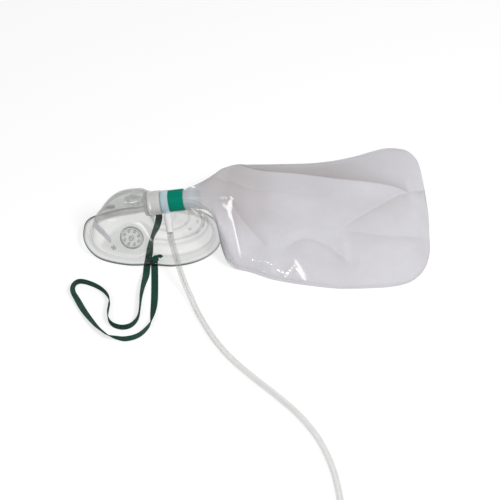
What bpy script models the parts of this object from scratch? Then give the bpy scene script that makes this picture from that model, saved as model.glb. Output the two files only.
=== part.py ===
# Non-rebreather oxygen face mask, laid down on its rim beside its reservoir bag.
# Metres, +Z up. Mask coordinates: x runs from the tip of the nose end along the mask to the
# closed end of the bag, y from the mask's plane of symmetry, z up from the table.

import math

import bpy
import numpy as np
from mathutils import Matrix, Vector

MM = 0.001
FIT = 0.3 * MM  # gap between pieces that touch

# Rim of the mask: two half superellipses that meet at the widest place
NOSE_LENGTH = 95 * MM
CHIN_LENGTH = 65 * MM
HALF_WIDTH = 50 * MM
NOSE_FULLNESS = 2.6
CHIN_FULLNESS = 2.15
FLANGE_WIDTH = 9 * MM
FLANGE_THICKNESS = 1.4 * MM
BEAD_HEIGHT = 2.2 * MM
WALL = 1.4 * MM
NOSE_SADDLE_HEIGHT = 9 * MM
NOSE_SADDLE_LENGTH = 26 * MM

# Dome over the nose and the lower chin part, as heights over the flange
DOME_HEIGHT = 68.5 * MM
DOME_TOP_X = 60 * MM
DOME_FRONT_LENGTH = 28 * MM
DOME_NOSE_CURVE = (2.2, 1.3)  # powers of the ridge line's superellipse, along and up
DOME_FRONT_CURVE = (4, 1.4)
CHIN_LEDGE_HEIGHT = 19 * MM
CHIN_LEDGE_CURVE = (10, 0.35)
CHIN_CROWN_RISE = 14 * MM
CHIN_START_X = 60 * MM
CHIN_FULL_X = 80 * MM
CREASE_WIDTH = 7 * MM
FLUTE_DEPTH = 0.8 * MM
FLUTE_COUNT = 3

# Exhale ports in the side panels
PORT_X = 59 * MM
PORT_Y = 31 * MM
PORT_RADIUS = 13.2 * MM
PORT_DEPTH = 2.6 * MM
PORT_RISE = 1.2 * MM
PORT_HOLE_RADIUS = 1.25 * MM
PORT_HOLE_CIRCLE = 8.6 * MM
PORT_HOLES = 8
STUD_RADIUS = 1.3 * MM
STUD_HEAD_RADIUS = 2.3 * MM
STUD_HEAD_HEIGHT = 1.4 * MM
EXHALE_FLAP_RADIUS = 12.4 * MM
EXHALE_FLAP_THICKNESS = 0.7 * MM

# Socket in the dome's front, and the axis that the connector, band and bag neck share
AXIS_X = 78 * MM
AXIS_Z = 51.8 * MM
AXIS_RISE = math.radians(9)
SOCKET_RADIUS = 13.7 * MM
SOCKET_LENGTH = 15.5 * MM
SOCKET_INSIDE = 4 * MM
SOCKET_LIP_RADIUS = 15 * MM
SOCKET_LIP_LENGTH = 2.2 * MM
MASK_SPIGOT_RADIUS = 11 * MM
MASK_SPIGOT_START = 3 * MM
MASK_SPIGOT_BORE = 9.4 * MM
COLLAR_RADIUS = 13 * MM
COLLAR_LENGTH = 8 * MM
BAG_SPIGOT_RADIUS = 9.6 * MM
BAG_SPIGOT_BORE = 8.2 * MM
BAG_SPIGOT_LENGTH = 35 * MM
SPIGOT_CHAMFER = 0.5 * MM

# Inhale valve inside the collar
SEAT_RADIUS = 7.6 * MM
SEAT_SETBACK = 1.2 * MM
SEAT_THICKNESS = 1.3 * MM
SPOKE_WIDTH = 1.3 * MM
SPOKES = 2
HUB_RADIUS = 1.9 * MM
INHALE_STUD_RADIUS = 0.9 * MM
INHALE_HEAD_RADIUS = 1.7 * MM
INHALE_HEAD_HEIGHT = 1 * MM
INHALE_FLAP_RADIUS = 8.8 * MM
INHALE_FLAP_THICKNESS = 0.7 * MM

# Gas inlet nipple on the collar, and the tube's cuff on it
NIPPLE_DIRECTION = Vector((0.15, -0.877, -0.46)).normalized()
NIPPLE_ROOT_RADIUS = 2.9 * MM
NIPPLE_TIP_RADIUS = 2.4 * MM
NIPPLE_BORE = 1.4 * MM
NIPPLE_END = 33 * MM
CUFF_START = 16 * MM
CUFF_END = 38 * MM
CUFF_RADIUS = 4.3 * MM
CUFF_STEP_LENGTH = 5 * MM
CUFF_STEP_RISE = 0.5 * MM
TUBE_RADIUS = 3.5 * MM
TUBE_STRAIGHT = 7 * MM

# Green band that holds the bag's neck on the connector
BAND_LENGTH = 17 * MM
BAND_WALL = 1.2 * MM
BAND_BEVEL = 0.5 * MM
NECK_WALL = 1 * MM

# Reservoir bag: its reach either side of the mask's plane, its weld and where the neck ends
BAG_END_X = 400 * MM
BAG_NEAR_REACH = 84 * MM
BAG_FAR_REACH = 122 * MM
BAG_LIP = 3.5 * MM
BAG_LIP_THICKNESS = 0.8 * MM
BAG_SHOULDER_X = 160 * MM
# The weld line's place and height on the near and far side, and how far the film stands over
# and under it, all in millimetres against the distance from the nose tip
BAG_NEAR_Y = ((128, -12.5), (138, -16), (148, -21), (155, -29), (161, -40), (167, -49), (176, -54),
              (189, -57), (219, -70), (258, -79), (299, -84), (337, -82.5), (355, -80), (371, -74.5),
              (385, -62), (393, -48), (397.5, -34), (400, -20))
BAG_FAR_Y = ((128, 14), (138, 23), (145, 34), (152, 46), (159, 60), (166, 71), (171, 78), (184, 86),
             (226, 91.5), (258, 93.5), (289, 98), (319, 107), (340, 116), (356, 122), (367, 122),
             (378, 118), (386, 110), (393, 97), (397, 82), (399, 50), (400, -8))
BAG_NEAR_Z = ((128, 60.5), (138, 61), (148, 56), (155, 45), (161, 19), (167, 7), (180, 1.2), (190, 0.4),
              (400, 0.4))
BAG_FAR_Z = ((128, 60.5), (138, 62), (150, 58), (160, 50), (171, 41), (190, 34), (226, 31), (283, 30),
             (347, 30), (380, 27), (396, 16), (400, 4))
BAG_RISE = ((128, 12), (138, 13), (160, 19), (190, 26), (300, 26), (360, 19), (388, 8), (396.5, 0.1),
            (400, 0.1))
BAG_DROP = ((128, 12), (138, 13), (160, 14), (190, 20), (360, 20), (388, 8), (396.5, 0.1), (400, 0.1))

# Nose clip, heat staked over the bridge of the nose
CLIP_WIDTH = 7.4 * MM
CLIP_THICKNESS = 0.8 * MM
CLIP_TOP_X = 14 * MM
CLIP_END_X = 35.5 * MM
CLIP_REACH = 28.3 * MM
CLIP_BEND = 1.75
STAKE_RADIUS = 1.5 * MM
STAKE_HEIGHT = 1.3 * MM
STAKE_SETBACK = 4.4 * MM

# Elastic strap and its slots in the flange
STRAP_WIDTH = 7.8 * MM
STRAP_THICKNESS = 0.9 * MM
SLOT_X = 84.2 * MM
SLOT_CLEARANCE = 0.5 * MM
STRAP_ARCH_HEIGHT = 2.1 * MM
STRAP_ARCH_LENGTH = 26 * MM
STRAP_TURN_RADIUS = 1.6 * MM
KNOT_RADIUS = 3.1 * MM
KNOT_HEIGHT = 4.4 * MM
# x, y in millimetres, and the turn of the strap about its own length in degrees
STRAP_ROUTE = ((85, -56, 0), (86.4, -80, 0), (87.3, -103, 10), (87, -121, 35), (85.6, -137, 75),
               (79.5, -149, 90), (71.3, -157, 90), (59.5, -160.7, 90), (49.4, -159, 76),
               (41, -155.5, 56), (33.6, -149, 52), (25.2, -139.7, 42), (12, -120, 22),
               (2.5, -102.4, 22), (-3.6, -90.5, 40), (-3.6, -82, 75), (0.6, -76.6, 90),
               (7.6, -76.6, 90), (18.6, -81.3, 90), (28.4, -88.3, 90), (35.3, -96.9, 90),
               (38.2, -105.5, 90), (37.9, -115, 90), (37.7, -124.5, 90), (39.8, -134, 90),
               (45.4, -141, 90), (54.6, -144.2, 90), (63.3, -142, 90), (69, -135.2, 90),
               (71.6, -127, 90), (72.2, -114, 87), (72.3, -98.6, 78), (73.6, -82, 64),
               (75.4, -69, 40), (75.9, -60, 8), (75.9, -51, 0), (77, -36, 0), (79.6, -6, 72),
               (84, 15, 35), (85.4, 31, 0))

# Oxygen tube: the route of its centre after the cuff, in millimetres
TUBE_ROUTE = ((107.6, -50, 29.4), (113.2, -67.3, 20.6), (119.6, -84, 11.9), (127.3, -101, 5.6),
              (131.5, -112, 3.8), (137.7, -127, 3.5), (149.5, -151.7, 3.5), (159.8, -169.2, 3.5),
              (168.6, -182, 3.5), (181, -197, 3.5), (199, -216, 3.5), (221, -238, 3.5),
              (243, -263, 3.5), (261, -292, 3.5), (273, -326, 3.5), (278.6, -362, 3.5),
              (280.2, -395, 3.5), (279.7, -417, 3.5))
# Stored length: a round coil beyond the tube, three turns wide and two high
COIL_X = 231.5 * MM
COIL_Y = -445 * MM
COIL_TURN_RADIUS = 42 * MM
COIL_TURNS_WIDE = 3
COIL_TURNS_HIGH = 2
COIL_LIFT = 0.9 * MM
TIE_THICKNESS = 0.5 * MM
TIE_WIDTH = 8 * MM
TIE_ANGLE = math.radians(100)
END_CUFF_LENGTH = 32 * MM
END_CUFF_RADIUS = 5.4 * MM
END_CUFF_GRIP_RADIUS = 4.4 * MM
END_CUFF_ANGLE = math.radians(-100)

# Facets
MASK_SEGMENTS = 56
MASK_RINGS = 19
ROUND_STEPS = 28
SMALL_STEPS = 12
HOLE_STEPS = 10
STRAP_STEP = 7 * MM
TUBE_STEP = 14 * MM
BAG_SECTION_POINTS = 22
BAG_SHOULDER_STATIONS = (140 * MM, 190 * MM, 10)
BAG_BODY_STATIONS = (205 * MM, 355 * MM, 9)
BAG_END_STATIONS = (36, 28, 21, 15.5, 11, 7.5, 4.5, 2, 0)
COIL_STEPS = 40
CLIP_STATIONS = 18


def remove_everything():
    """Start from an empty scene."""
    for thing in list(bpy.data.objects):
        bpy.data.objects.remove(thing, do_unlink=True)


def material(name, color, roughness, metallic=0.0, alpha=1.0):
    """A Principled material with the sub-part's colour."""
    made = bpy.data.materials.new(name)
    made.use_nodes = True
    shader = made.node_tree.nodes["Principled BSDF"]
    shader.inputs["Base Color"].default_value = (*color, 1.0)
    shader.inputs["Roughness"].default_value = roughness
    shader.inputs["Metallic"].default_value = metallic
    shader.inputs["Alpha"].default_value = alpha
    return made


def put(name, verts, faces, parent, look=None):
    """Make one mesh object under a parent, shaded smooth with its edges kept sharp."""
    mesh = bpy.data.meshes.new(name)
    mesh.from_pydata([tuple(v) for v in verts], [], [tuple(f) for f in faces])
    mesh.validate()
    mesh.shade_smooth()
    mesh.set_sharp_from_angle(angle=math.radians(35))
    if look:
        mesh.materials.append(look)
    made = bpy.data.objects.new(name, mesh)
    bpy.context.scene.collection.objects.link(made)
    made.parent = parent
    return made


def empty(name, parent=None, matrix=None):
    """An axis that other objects are placed on."""
    made = bpy.data.objects.new(name, None)
    bpy.context.scene.collection.objects.link(made)
    made.parent = parent
    if matrix is not None:
        made.matrix_local = matrix
    return made


def combine(target, tool, operation):
    """Join or cut the target with a tool, which is left out of the model."""
    tool.hide_render = True
    tool.display_type = "WIRE"
    step = target.modifiers.new(f"{operation.lower()} {tool.name}", "BOOLEAN")
    step.operation = operation
    step.solver = "EXACT"
    step.object = tool


def skin_rings(rings, closed=False):
    """Vertices and faces of a tube through rings of points, capped at both ends unless closed."""
    count = len(rings[0])
    verts = [v for ring in rings for v in ring]
    faces = []
    for i in range(len(rings) if closed else len(rings) - 1):
        low, high = i * count, ((i + 1) % len(rings)) * count
        for j in range(count):
            k = (j + 1) % count
            faces.append((low + j, low + k, high + k, high + j))
    if not closed:
        faces.append(tuple(range(count))[::-1])
        faces.append(tuple(range(len(verts) - count, len(verts))))
    return verts, faces


def turned(name, profile, parent, look=None, steps=ROUND_STEPS):
    """Turn a closed profile of (radius, height) about Z, listed counter-clockwise.
    A profile that starts and ends at radius 0 gives a solid, any other a ring."""
    solid = profile[0][0] == 0
    around = [2 * math.pi * i / steps for i in range(steps)]
    if solid:
        inner = profile[1:-1]
        rings = [[(r * math.cos(a), r * math.sin(a), z) for a in around] for r, z in inner]
        verts, faces = skin_rings(rings)
        faces = faces[:-2]
        bottom, top = len(verts), len(verts) + 1
        verts += [(0, 0, profile[0][1]), (0, 0, profile[-1][1])]
        last = (len(rings) - 1) * steps
        for j in range(steps):
            k = (j + 1) % steps
            faces.append((bottom, k, j))
            faces.append((top, last + j, last + k))
    else:
        rings = [[(r * math.cos(a), r * math.sin(a), z) for a in around] for r, z in profile]
        verts, faces = skin_rings(rings, closed=True)
    return put(name, verts, faces, parent, look)


def block(name, size, centre, parent):
    """A box of the given size round a centre."""
    signs = ((-1, -1), (1, -1), (1, 1), (-1, 1))
    rings = [[(centre[0] + a * size[0] / 2, centre[1] + b * size[1] / 2, centre[2] + c * size[2] / 2)
              for a, b in signs] for c in (-1, 1)]
    verts, faces = skin_rings(rings)
    return put(name, verts, faces, parent)


def through(points, x):
    """The smooth curve through (x, y) points that never overshoots them, read at x."""
    xs, ys = np.array(points, float).T
    steps = np.diff(xs)
    slopes = np.diff(ys) / steps
    ends = np.concatenate([[slopes[0]], np.zeros(len(xs) - 2), [slopes[-1]]])
    same_way = slopes[:-1] * slopes[1:] > 0
    safe = np.where(same_way, slopes[:-1] + slopes[1:], 1.0)
    ends[1:-1] = np.where(same_way, 2 * slopes[:-1] * slopes[1:] / safe, 0.0)
    x = np.clip(x, xs[0], xs[-1])
    i = np.clip(np.searchsorted(xs, x) - 1, 0, len(steps) - 1)
    t = (x - xs[i]) / steps[i]
    rise = (1 + 2 * t) * (1 - t) ** 2 * ys[i] + t * t * (3 - 2 * t) * ys[i + 1]
    return rise + steps[i] * (t * (1 - t) ** 2 * ends[i] - t * t * (1 - t) * ends[i + 1])


def smooth_route(points, spacing):
    """Points a set distance apart on the Catmull-Rom curve through the route's own points."""
    route = np.array(points, float)
    padded = np.vstack([2 * route[0] - route[1], route, 2 * route[-1] - route[-2]])
    t = np.linspace(0, 1, 24, endpoint=False)[:, None]
    pieces = []
    for a, b, c, d in zip(padded, padded[1:], padded[2:], padded[3:], strict=False):
        pieces.append(0.5 * (2 * b + (c - a) * t + (2 * a - 5 * b + 4 * c - d) * t**2
                             + (3 * b - a - 3 * c + d) * t**3))
    fine = np.vstack([*pieces, route[-1:]])
    along = np.concatenate([[0], np.linalg.norm(np.diff(fine[:, :3], axis=0), axis=1).cumsum()])
    count = max(2, round(along[-1] / spacing) + 1)
    at = np.linspace(0, along[-1], count)
    return np.stack([np.interp(at, along, column) for column in fine.T], axis=1)


def smooth_step(x, low, high):
    """0 below low, 1 above high, and a smooth rise between."""
    t = np.clip((x - low) / (high - low), 0, 1)
    return t * t * (3 - 2 * t)


# Form of the mask

def outline(angle, inset):
    """Point of the rim at an angle, 0 at the chin and pi at the nose, moved in by inset."""
    c, s = math.cos(angle), math.sin(angle)
    length, fullness = (CHIN_LENGTH, CHIN_FULLNESS) if c >= 0 else (NOSE_LENGTH, NOSE_FULLNESS)
    x = NOSE_LENGTH + math.copysign((length - inset) * abs(c) ** (2 / fullness), c)
    return x, math.copysign((HALF_WIDTH - inset) * abs(s) ** (2 / fullness), s)


def rim_lift(x):
    """How far the rim stands off the table: a saddle at the nose, and an arch over the strap."""
    saddle = NOSE_SADDLE_HEIGHT * np.clip(1 - x / NOSE_SADDLE_LENGTH, 0, 1) ** 2
    reach = np.clip((x - SLOT_X + STRAP_WIDTH / 2) / STRAP_ARCH_LENGTH, -1, 1)
    return saddle + STRAP_ARCH_HEIGHT * (1 - reach**2) ** 2


def wall_height(x, y):
    """Height of the shell's outside over the flange, on plan coordinates inside the foot line."""
    half = HALF_WIDTH - FLANGE_WIDTH
    nose = x < NOSE_LENGTH
    length = np.where(nose, NOSE_LENGTH, CHIN_LENGTH) - FLANGE_WIDTH
    fullness = np.where(nose, NOSE_FULLNESS, CHIN_FULLNESS)
    along = np.clip(np.abs(x - NOSE_LENGTH) / length, 0, 1)
    across = np.abs(y) / half
    edge = np.clip((along**fullness + across**fullness) ** (1 / fullness), 0, 1)

    nose_reach = np.clip((DOME_TOP_X - x) / (DOME_TOP_X - FLANGE_WIDTH), 0, 1)
    front_reach = np.clip((x - DOME_TOP_X) / DOME_FRONT_LENGTH, 0, 1)
    back, front = DOME_NOSE_CURVE, DOME_FRONT_CURVE
    ridge = DOME_HEIGHT * np.where(x < DOME_TOP_X, (1 - nose_reach ** back[0]) ** (1 / back[1]),
                                   (1 - front_reach ** front[0]) ** (1 / front[1]))
    foot = np.maximum(half * (1 - along**fullness) ** (1 / fullness), 1e-6)
    dome = ridge * np.clip(1 - (np.abs(y) / foot) ** 2, 0, 1)

    flutes = FLUTE_DEPTH * np.sin(2 * math.pi * FLUTE_COUNT * edge) * smooth_step(edge, 0.25, 0.5)
    fall, curve = CHIN_LEDGE_CURVE
    ledge = 1 - edge**fall
    chin = CHIN_LEDGE_HEIGHT * ledge**curve + CHIN_CROWN_RISE * (1 - edge**2) + flutes * ledge
    chin *= smooth_step(x, CHIN_START_X, CHIN_FULL_X)

    inside_foot = np.clip(8 * (1 - edge), 0, 1)
    soft = CREASE_WIDTH * np.maximum(inside_foot, 0.02)
    near = np.clip(soft - np.abs(dome - chin), 0, None) / soft
    return np.maximum(dome, chin) + near**2 * soft / 4 * inside_foot


def shell_point(x, y):
    """A point on the shell's outside."""
    x, y = np.asarray(x, float), np.asarray(y, float)
    return np.stack([x, y, rim_lift(x) + FLANGE_THICKNESS + wall_height(x, y)], axis=-1)


def shell_normal(x, y):
    """The shell's outward direction at a plan point."""
    step = 0.2 * MM
    along = shell_point(x + step, y) - shell_point(x - step, y)
    across = shell_point(x, y + step) - shell_point(x, y - step)
    normal = np.cross(along, across)
    return normal / np.linalg.norm(normal)


def on_shell(x, y):
    """An axis standing on the shell, its local Z pointing straight out of it."""
    way = Vector(shell_normal(x, y))
    turn = way.to_track_quat("Z", "Y").to_matrix().to_4x4()
    return Matrix.Translation(Vector(shell_point(x, y))) @ turn


def meridian(top, foot):
    """Points from the foot of the wall towards the top, evenly spaced along the surface."""
    shares = np.linspace(1, 0, 400)
    line = shell_point(*(top + (foot - top) * shares[:, None]).T)
    along = np.concatenate([[0], np.linalg.norm(np.diff(line, axis=0), axis=1).cumsum()])
    even = np.linspace(0, along[-1], MASK_RINGS + 1)[:-1]
    return shell_point(*(top + (foot - top) * np.interp(even, along, shares)[:, None]).T)


def shell_body(parent, look):
    """The moulded shell: flange, bead, wall and crown outside, and the same wall inside."""
    angles = [2 * math.pi * i / MASK_SEGMENTS for i in range(MASK_SEGMENTS)]
    foot = np.array([outline(a, FLANGE_WIDTH) for a in angles])
    rim = np.array([outline(a, 0) for a in angles])
    top = np.array([DOME_TOP_X, 0])
    outside = np.stack([meridian(top, place) for place in foot], axis=1)
    outside[0, :, 2] = rim_lift(foot[:, 0]) + FLANGE_THICKNESS

    around = np.roll(outside, -1, axis=1) - np.roll(outside, 1, axis=1)
    upward = np.gradient(outside, axis=0)
    normals = np.cross(around, upward)
    normals /= np.linalg.norm(normals, axis=2, keepdims=True)
    inside = outside - WALL * normals
    inward = (top - foot) / np.linalg.norm(top - foot, axis=1, keepdims=True)
    inside[0, :, :2] = foot + inward * WALL
    inside[0, :, 2] = rim_lift(foot[:, 0])

    def flange_ring(share, height):
        plan = foot + (rim - foot) * share
        return np.column_stack([plan, rim_lift(plan[:, 0]) + height])

    flange = [flange_ring(share, height) for share, height in (
        (1.0, 0), (1.0, 0.5 * BEAD_HEIGHT), (0.95, BEAD_HEIGHT), (0.85, BEAD_HEIGHT),
        (0.76, FLANGE_THICKNESS))]
    rings = [*inside[::-1], *flange, *outside]
    verts, faces = skin_rings(rings)
    faces = [f for f in faces if len(f) == 4]
    crown_in, crown_out = len(verts), len(verts) + 1
    crown = shell_point(*top)
    verts += [crown - np.array([0, 0, WALL]), crown]
    last = (len(rings) - 1) * MASK_SEGMENTS
    for j in range(MASK_SEGMENTS):
        k = (j + 1) % MASK_SEGMENTS
        faces.append((crown_in, k, j))
        faces.append((crown_out, last + j, last + k))
    return put("mask_shell", verts, faces, parent, look)


# Rigid pieces

def port_boss(name, axis):
    """Flat round seat of an exhale port, with the stud that holds its flap."""
    neck_top = PORT_RISE + 2 * FIT + EXHALE_FLAP_THICKNESS
    profile = ((0, -PORT_DEPTH), (PORT_RADIUS, -PORT_DEPTH), (PORT_RADIUS, PORT_RISE),
               (STUD_RADIUS, PORT_RISE), (STUD_RADIUS, neck_top), (STUD_HEAD_RADIUS, neck_top),
               (0.6 * STUD_HEAD_RADIUS, neck_top + 0.8 * STUD_HEAD_HEIGHT),
               (0, neck_top + STUD_HEAD_HEIGHT))
    return turned(name, profile, axis, steps=ROUND_STEPS)


def port_holes(name, axis):
    """The ring of gas holes in a port."""
    verts, faces = [], []
    for i in range(PORT_HOLES):
        turn = 2 * math.pi * (i + 0.5) / PORT_HOLES
        x, y = PORT_HOLE_CIRCLE * math.cos(turn), PORT_HOLE_CIRCLE * math.sin(turn)
        around = [2 * math.pi * j / HOLE_STEPS for j in range(HOLE_STEPS)]
        rings = [[(x + PORT_HOLE_RADIUS * math.cos(a), y + PORT_HOLE_RADIUS * math.sin(a), z)
                  for a in around] for z in (-2 * PORT_DEPTH, 2 * PORT_RISE)]
        more_verts, more_faces = skin_rings(rings)
        faces += [tuple(v + len(verts) for v in f) for f in more_faces]
        verts += more_verts
    return put(name, verts, faces, axis)


def exhale_flap(name, axis, look):
    """Soft disc that lies on a port and lifts on breathing out."""
    bottom = PORT_RISE + FIT
    hole = STUD_RADIUS + FIT
    profile = ((hole, bottom), (EXHALE_FLAP_RADIUS, bottom),
               (EXHALE_FLAP_RADIUS, bottom + EXHALE_FLAP_THICKNESS),
               (hole, bottom + EXHALE_FLAP_THICKNESS))
    return turned(name, profile, axis, look)


def socket_tools(axis):
    """Outside and bore of the socket that the connector is pushed into."""
    start = -SOCKET_INSIDE
    profile = ((0, start), (SOCKET_RADIUS, start), (SOCKET_RADIUS, 0), (SOCKET_LIP_RADIUS, 0),
               (SOCKET_LIP_RADIUS, SOCKET_LIP_LENGTH), (SOCKET_RADIUS, SOCKET_LIP_LENGTH),
               (SOCKET_RADIUS, SOCKET_LENGTH), (0, SOCKET_LENGTH))
    bore = MASK_SPIGOT_RADIUS + FIT
    reach = 2 * SOCKET_LENGTH
    cut = ((0, -reach / 2), (bore, -reach / 2), (bore, reach), (0, reach))
    return turned("socket_outside", profile, axis), turned("socket_bore", cut, axis)


def collar_start():
    return SOCKET_LENGTH + FIT


def band_start():
    return collar_start() + COLLAR_LENGTH + FIT


def inlet_height():
    return collar_start() + COLLAR_LENGTH / 2


def connector(axis, nipple_axis, look):
    """Connector between mask and bag: two spigots, collar, valve seat with spokes, and nipple."""
    start, collar = MASK_SPIGOT_START, collar_start()
    collar_end = collar + COLLAR_LENGTH
    end = collar_end + BAG_SPIGOT_LENGTH
    seat = collar + SEAT_SETBACK
    profile = (
        (MASK_SPIGOT_BORE, start), (MASK_SPIGOT_RADIUS - SPIGOT_CHAMFER, start),
        (MASK_SPIGOT_RADIUS, start + SPIGOT_CHAMFER), (MASK_SPIGOT_RADIUS, collar),
        (COLLAR_RADIUS, collar), (COLLAR_RADIUS, collar_end), (BAG_SPIGOT_RADIUS, collar_end),
        (BAG_SPIGOT_RADIUS, end - SPIGOT_CHAMFER), (BAG_SPIGOT_RADIUS - SPIGOT_CHAMFER, end),
        (BAG_SPIGOT_BORE, end), (BAG_SPIGOT_BORE, seat + SEAT_THICKNESS),
        (SEAT_RADIUS, seat + SEAT_THICKNESS), (SEAT_RADIUS, seat), (MASK_SPIGOT_BORE, seat))
    body = turned("connector_body", profile, axis, look)

    for i in range(SPOKES):
        size = (2 * BAG_SPIGOT_BORE, SPOKE_WIDTH, SEAT_THICKNESS)
        spoke = block(f"valve_spoke_{i}", size, (0, 0, seat + SEAT_THICKNESS / 2), axis)
        spoke.rotation_euler = (0, 0, math.pi * i / SPOKES)
        combine(body, spoke, "UNION")
    neck = seat - 2 * FIT - INHALE_FLAP_THICKNESS
    stud = turned("valve_stud", (
        (0, neck - INHALE_HEAD_HEIGHT), (0.6 * INHALE_HEAD_RADIUS, neck - INHALE_HEAD_HEIGHT),
        (INHALE_HEAD_RADIUS, neck), (INHALE_STUD_RADIUS, neck), (INHALE_STUD_RADIUS, seat),
        (HUB_RADIUS, seat), (HUB_RADIUS, seat + SEAT_THICKNESS), (0, seat + SEAT_THICKNESS)),
        axis, steps=SMALL_STEPS)
    combine(body, stud, "UNION")

    root = MASK_SPIGOT_BORE + 0.5 * (COLLAR_RADIUS - MASK_SPIGOT_BORE)
    nipple = turned("inlet_nipple", (
        (0, root), (NIPPLE_ROOT_RADIUS, root), (NIPPLE_ROOT_RADIUS, CUFF_START - FIT),
        (NIPPLE_TIP_RADIUS + FIT, CUFF_START - FIT), (NIPPLE_TIP_RADIUS, NIPPLE_END),
        (0, NIPPLE_END)), nipple_axis, steps=2 * SMALL_STEPS)
    combine(body, nipple, "UNION")
    bore = turned("inlet_bore", (
        (0, BAG_SPIGOT_BORE - 1 * MM), (NIPPLE_BORE, BAG_SPIGOT_BORE - 1 * MM),
        (NIPPLE_BORE, NIPPLE_END + 1 * MM), (0, NIPPLE_END + 1 * MM)),
        nipple_axis, steps=SMALL_STEPS)
    combine(body, bore, "DIFFERENCE")
    return body


def inhale_flap(axis, look):
    """Soft disc on the mask side of the valve seat."""
    top = collar_start() + SEAT_SETBACK - FIT
    hole = INHALE_STUD_RADIUS + FIT
    profile = ((hole, top - INHALE_FLAP_THICKNESS), (INHALE_FLAP_RADIUS, top - INHALE_FLAP_THICKNESS),
               (INHALE_FLAP_RADIUS, top), (hole, top))
    return turned("inhale_flap", profile, axis, look)


def bag_band(axis, look):
    """Green band with softened edges round the bag's neck."""
    inner = BAG_SPIGOT_RADIUS + FIT + NECK_WALL + FIT
    outer = inner + BAND_WALL
    start, end = band_start(), band_start() + BAND_LENGTH
    profile = ((inner, start), (outer - BAND_BEVEL, start), (outer, start + BAND_BEVEL),
               (outer, end - BAND_BEVEL), (outer - BAND_BEVEL, end), (inner, end))
    return turned("bag_band", profile, axis, look)


def nose_clip(parent, look):
    """Bendable metal strip that follows the shell over the bridge of the nose."""
    stations = smooth_route([(CLIP_TOP_X + (CLIP_END_X - CLIP_TOP_X) * abs(y) ** CLIP_BEND,
                              y * CLIP_REACH, 0) for y in np.linspace(-1, 1, CLIP_STATIONS)],
                            2 * CLIP_REACH / CLIP_STATIONS)
    ways = np.gradient(stations, axis=0)
    rings = []
    for (x, y, _), (dx, dy, _) in zip(stations, ways, strict=True):
        side = np.array([dy, -dx]) / math.hypot(dx, dy)
        upper, lower = [], []
        for share in (-1, 0, 1):
            px, py = np.array([x, y]) + side * share * clip_half_width(x, y, side)
            normal = shell_normal(px, py)
            upper.append(shell_point(px, py) + normal * (FIT + CLIP_THICKNESS))
            lower.append(shell_point(px, py) + normal * FIT)
        rings.append([*upper, *lower[::-1]])
    verts, faces = skin_rings(rings)
    return put("nose_clip", verts, faces, parent, look)


def clip_half_width(x, y, side):
    """Plan distance that gives half the clip's width on the sloping shell."""
    step = 0.5 * MM
    ahead = shell_point(x + side[0] * step, y + side[1] * step)
    back = shell_point(x - side[0] * step, y - side[1] * step)
    return CLIP_WIDTH / 2 * 2 * step / np.linalg.norm(ahead - back)


# Soft pieces

def bag_section(x):
    """One cross-section of the bag as a ring of points, far lip first, over the top."""
    at = x / MM
    neck = BAG_SPIGOT_RADIUS + FIT + NECK_WALL
    band_end = AXIS_X + (band_start() + BAND_LENGTH) * math.cos(AXIS_RISE)
    flare = smooth_step(x, band_end + FIT, band_end + 10 * MM)
    axis_z = AXIS_Z + (x - AXIS_X) * math.tan(AXIS_RISE)
    round_part = 1 - smooth_step(x, band_end + 8 * MM, BAG_SHOULDER_X)
    tilt = AXIS_RISE * (1 - smooth_step(x, band_end + 10 * MM, BAG_SHOULDER_X))

    def value(points, start):
        return start + (through(points, at) * MM - start) * flare

    near_y, far_y = value(BAG_NEAR_Y, -neck), value(BAG_FAR_Y, neck)
    near_z, far_z = value(BAG_NEAR_Z, axis_z), value(BAG_FAR_Z, axis_z)
    rise, drop = value(BAG_RISE, neck), value(BAG_DROP, neck)
    lip = 0.05 * MM + BAG_LIP * smooth_step(x, band_end + 4 * MM, BAG_SHOULDER_X)
    lip = min(lip, 0.3 * (far_y - near_y))
    edge = BAG_LIP_THICKNESS / 2
    half = (far_y - near_y) / 2 - lip
    middle = (far_y + near_y) / 2

    def line(v):
        return near_z + (far_z - near_z) * ((v + 1) / 2) ** 1.3

    def film(turn):
        v = math.cos(turn)
        swell = abs(math.sin(turn)) ** (1.5 - 0.5 * round_part)
        offset = (rise if turn < math.pi else -drop) * swell
        offset += edge * (1 if turn < math.pi else -1) * (1 - round_part * swell)
        return middle + half * v, line(v) + offset

    half_count = BAG_SECTION_POINTS // 2
    turns = [math.pi * i / half_count for i in range(half_count + 1)]
    over = [film(min(t, math.pi - 1e-6)) for t in turns]
    under = [film(math.pi + max(t, 1e-6)) for t in turns]
    lips = [(near_y, near_z + edge), (near_y, near_z - edge)], [(far_y, far_z - edge), (far_y, far_z + edge)]
    ring = [lips[1][1], *over, *lips[0], *under, lips[1][0]]
    points = []
    for y, z in ring:
        above = z - axis_z
        points.append((x - above * math.sin(tilt), y, max(axis_z + above * math.cos(tilt), 0)))
    return points


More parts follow.
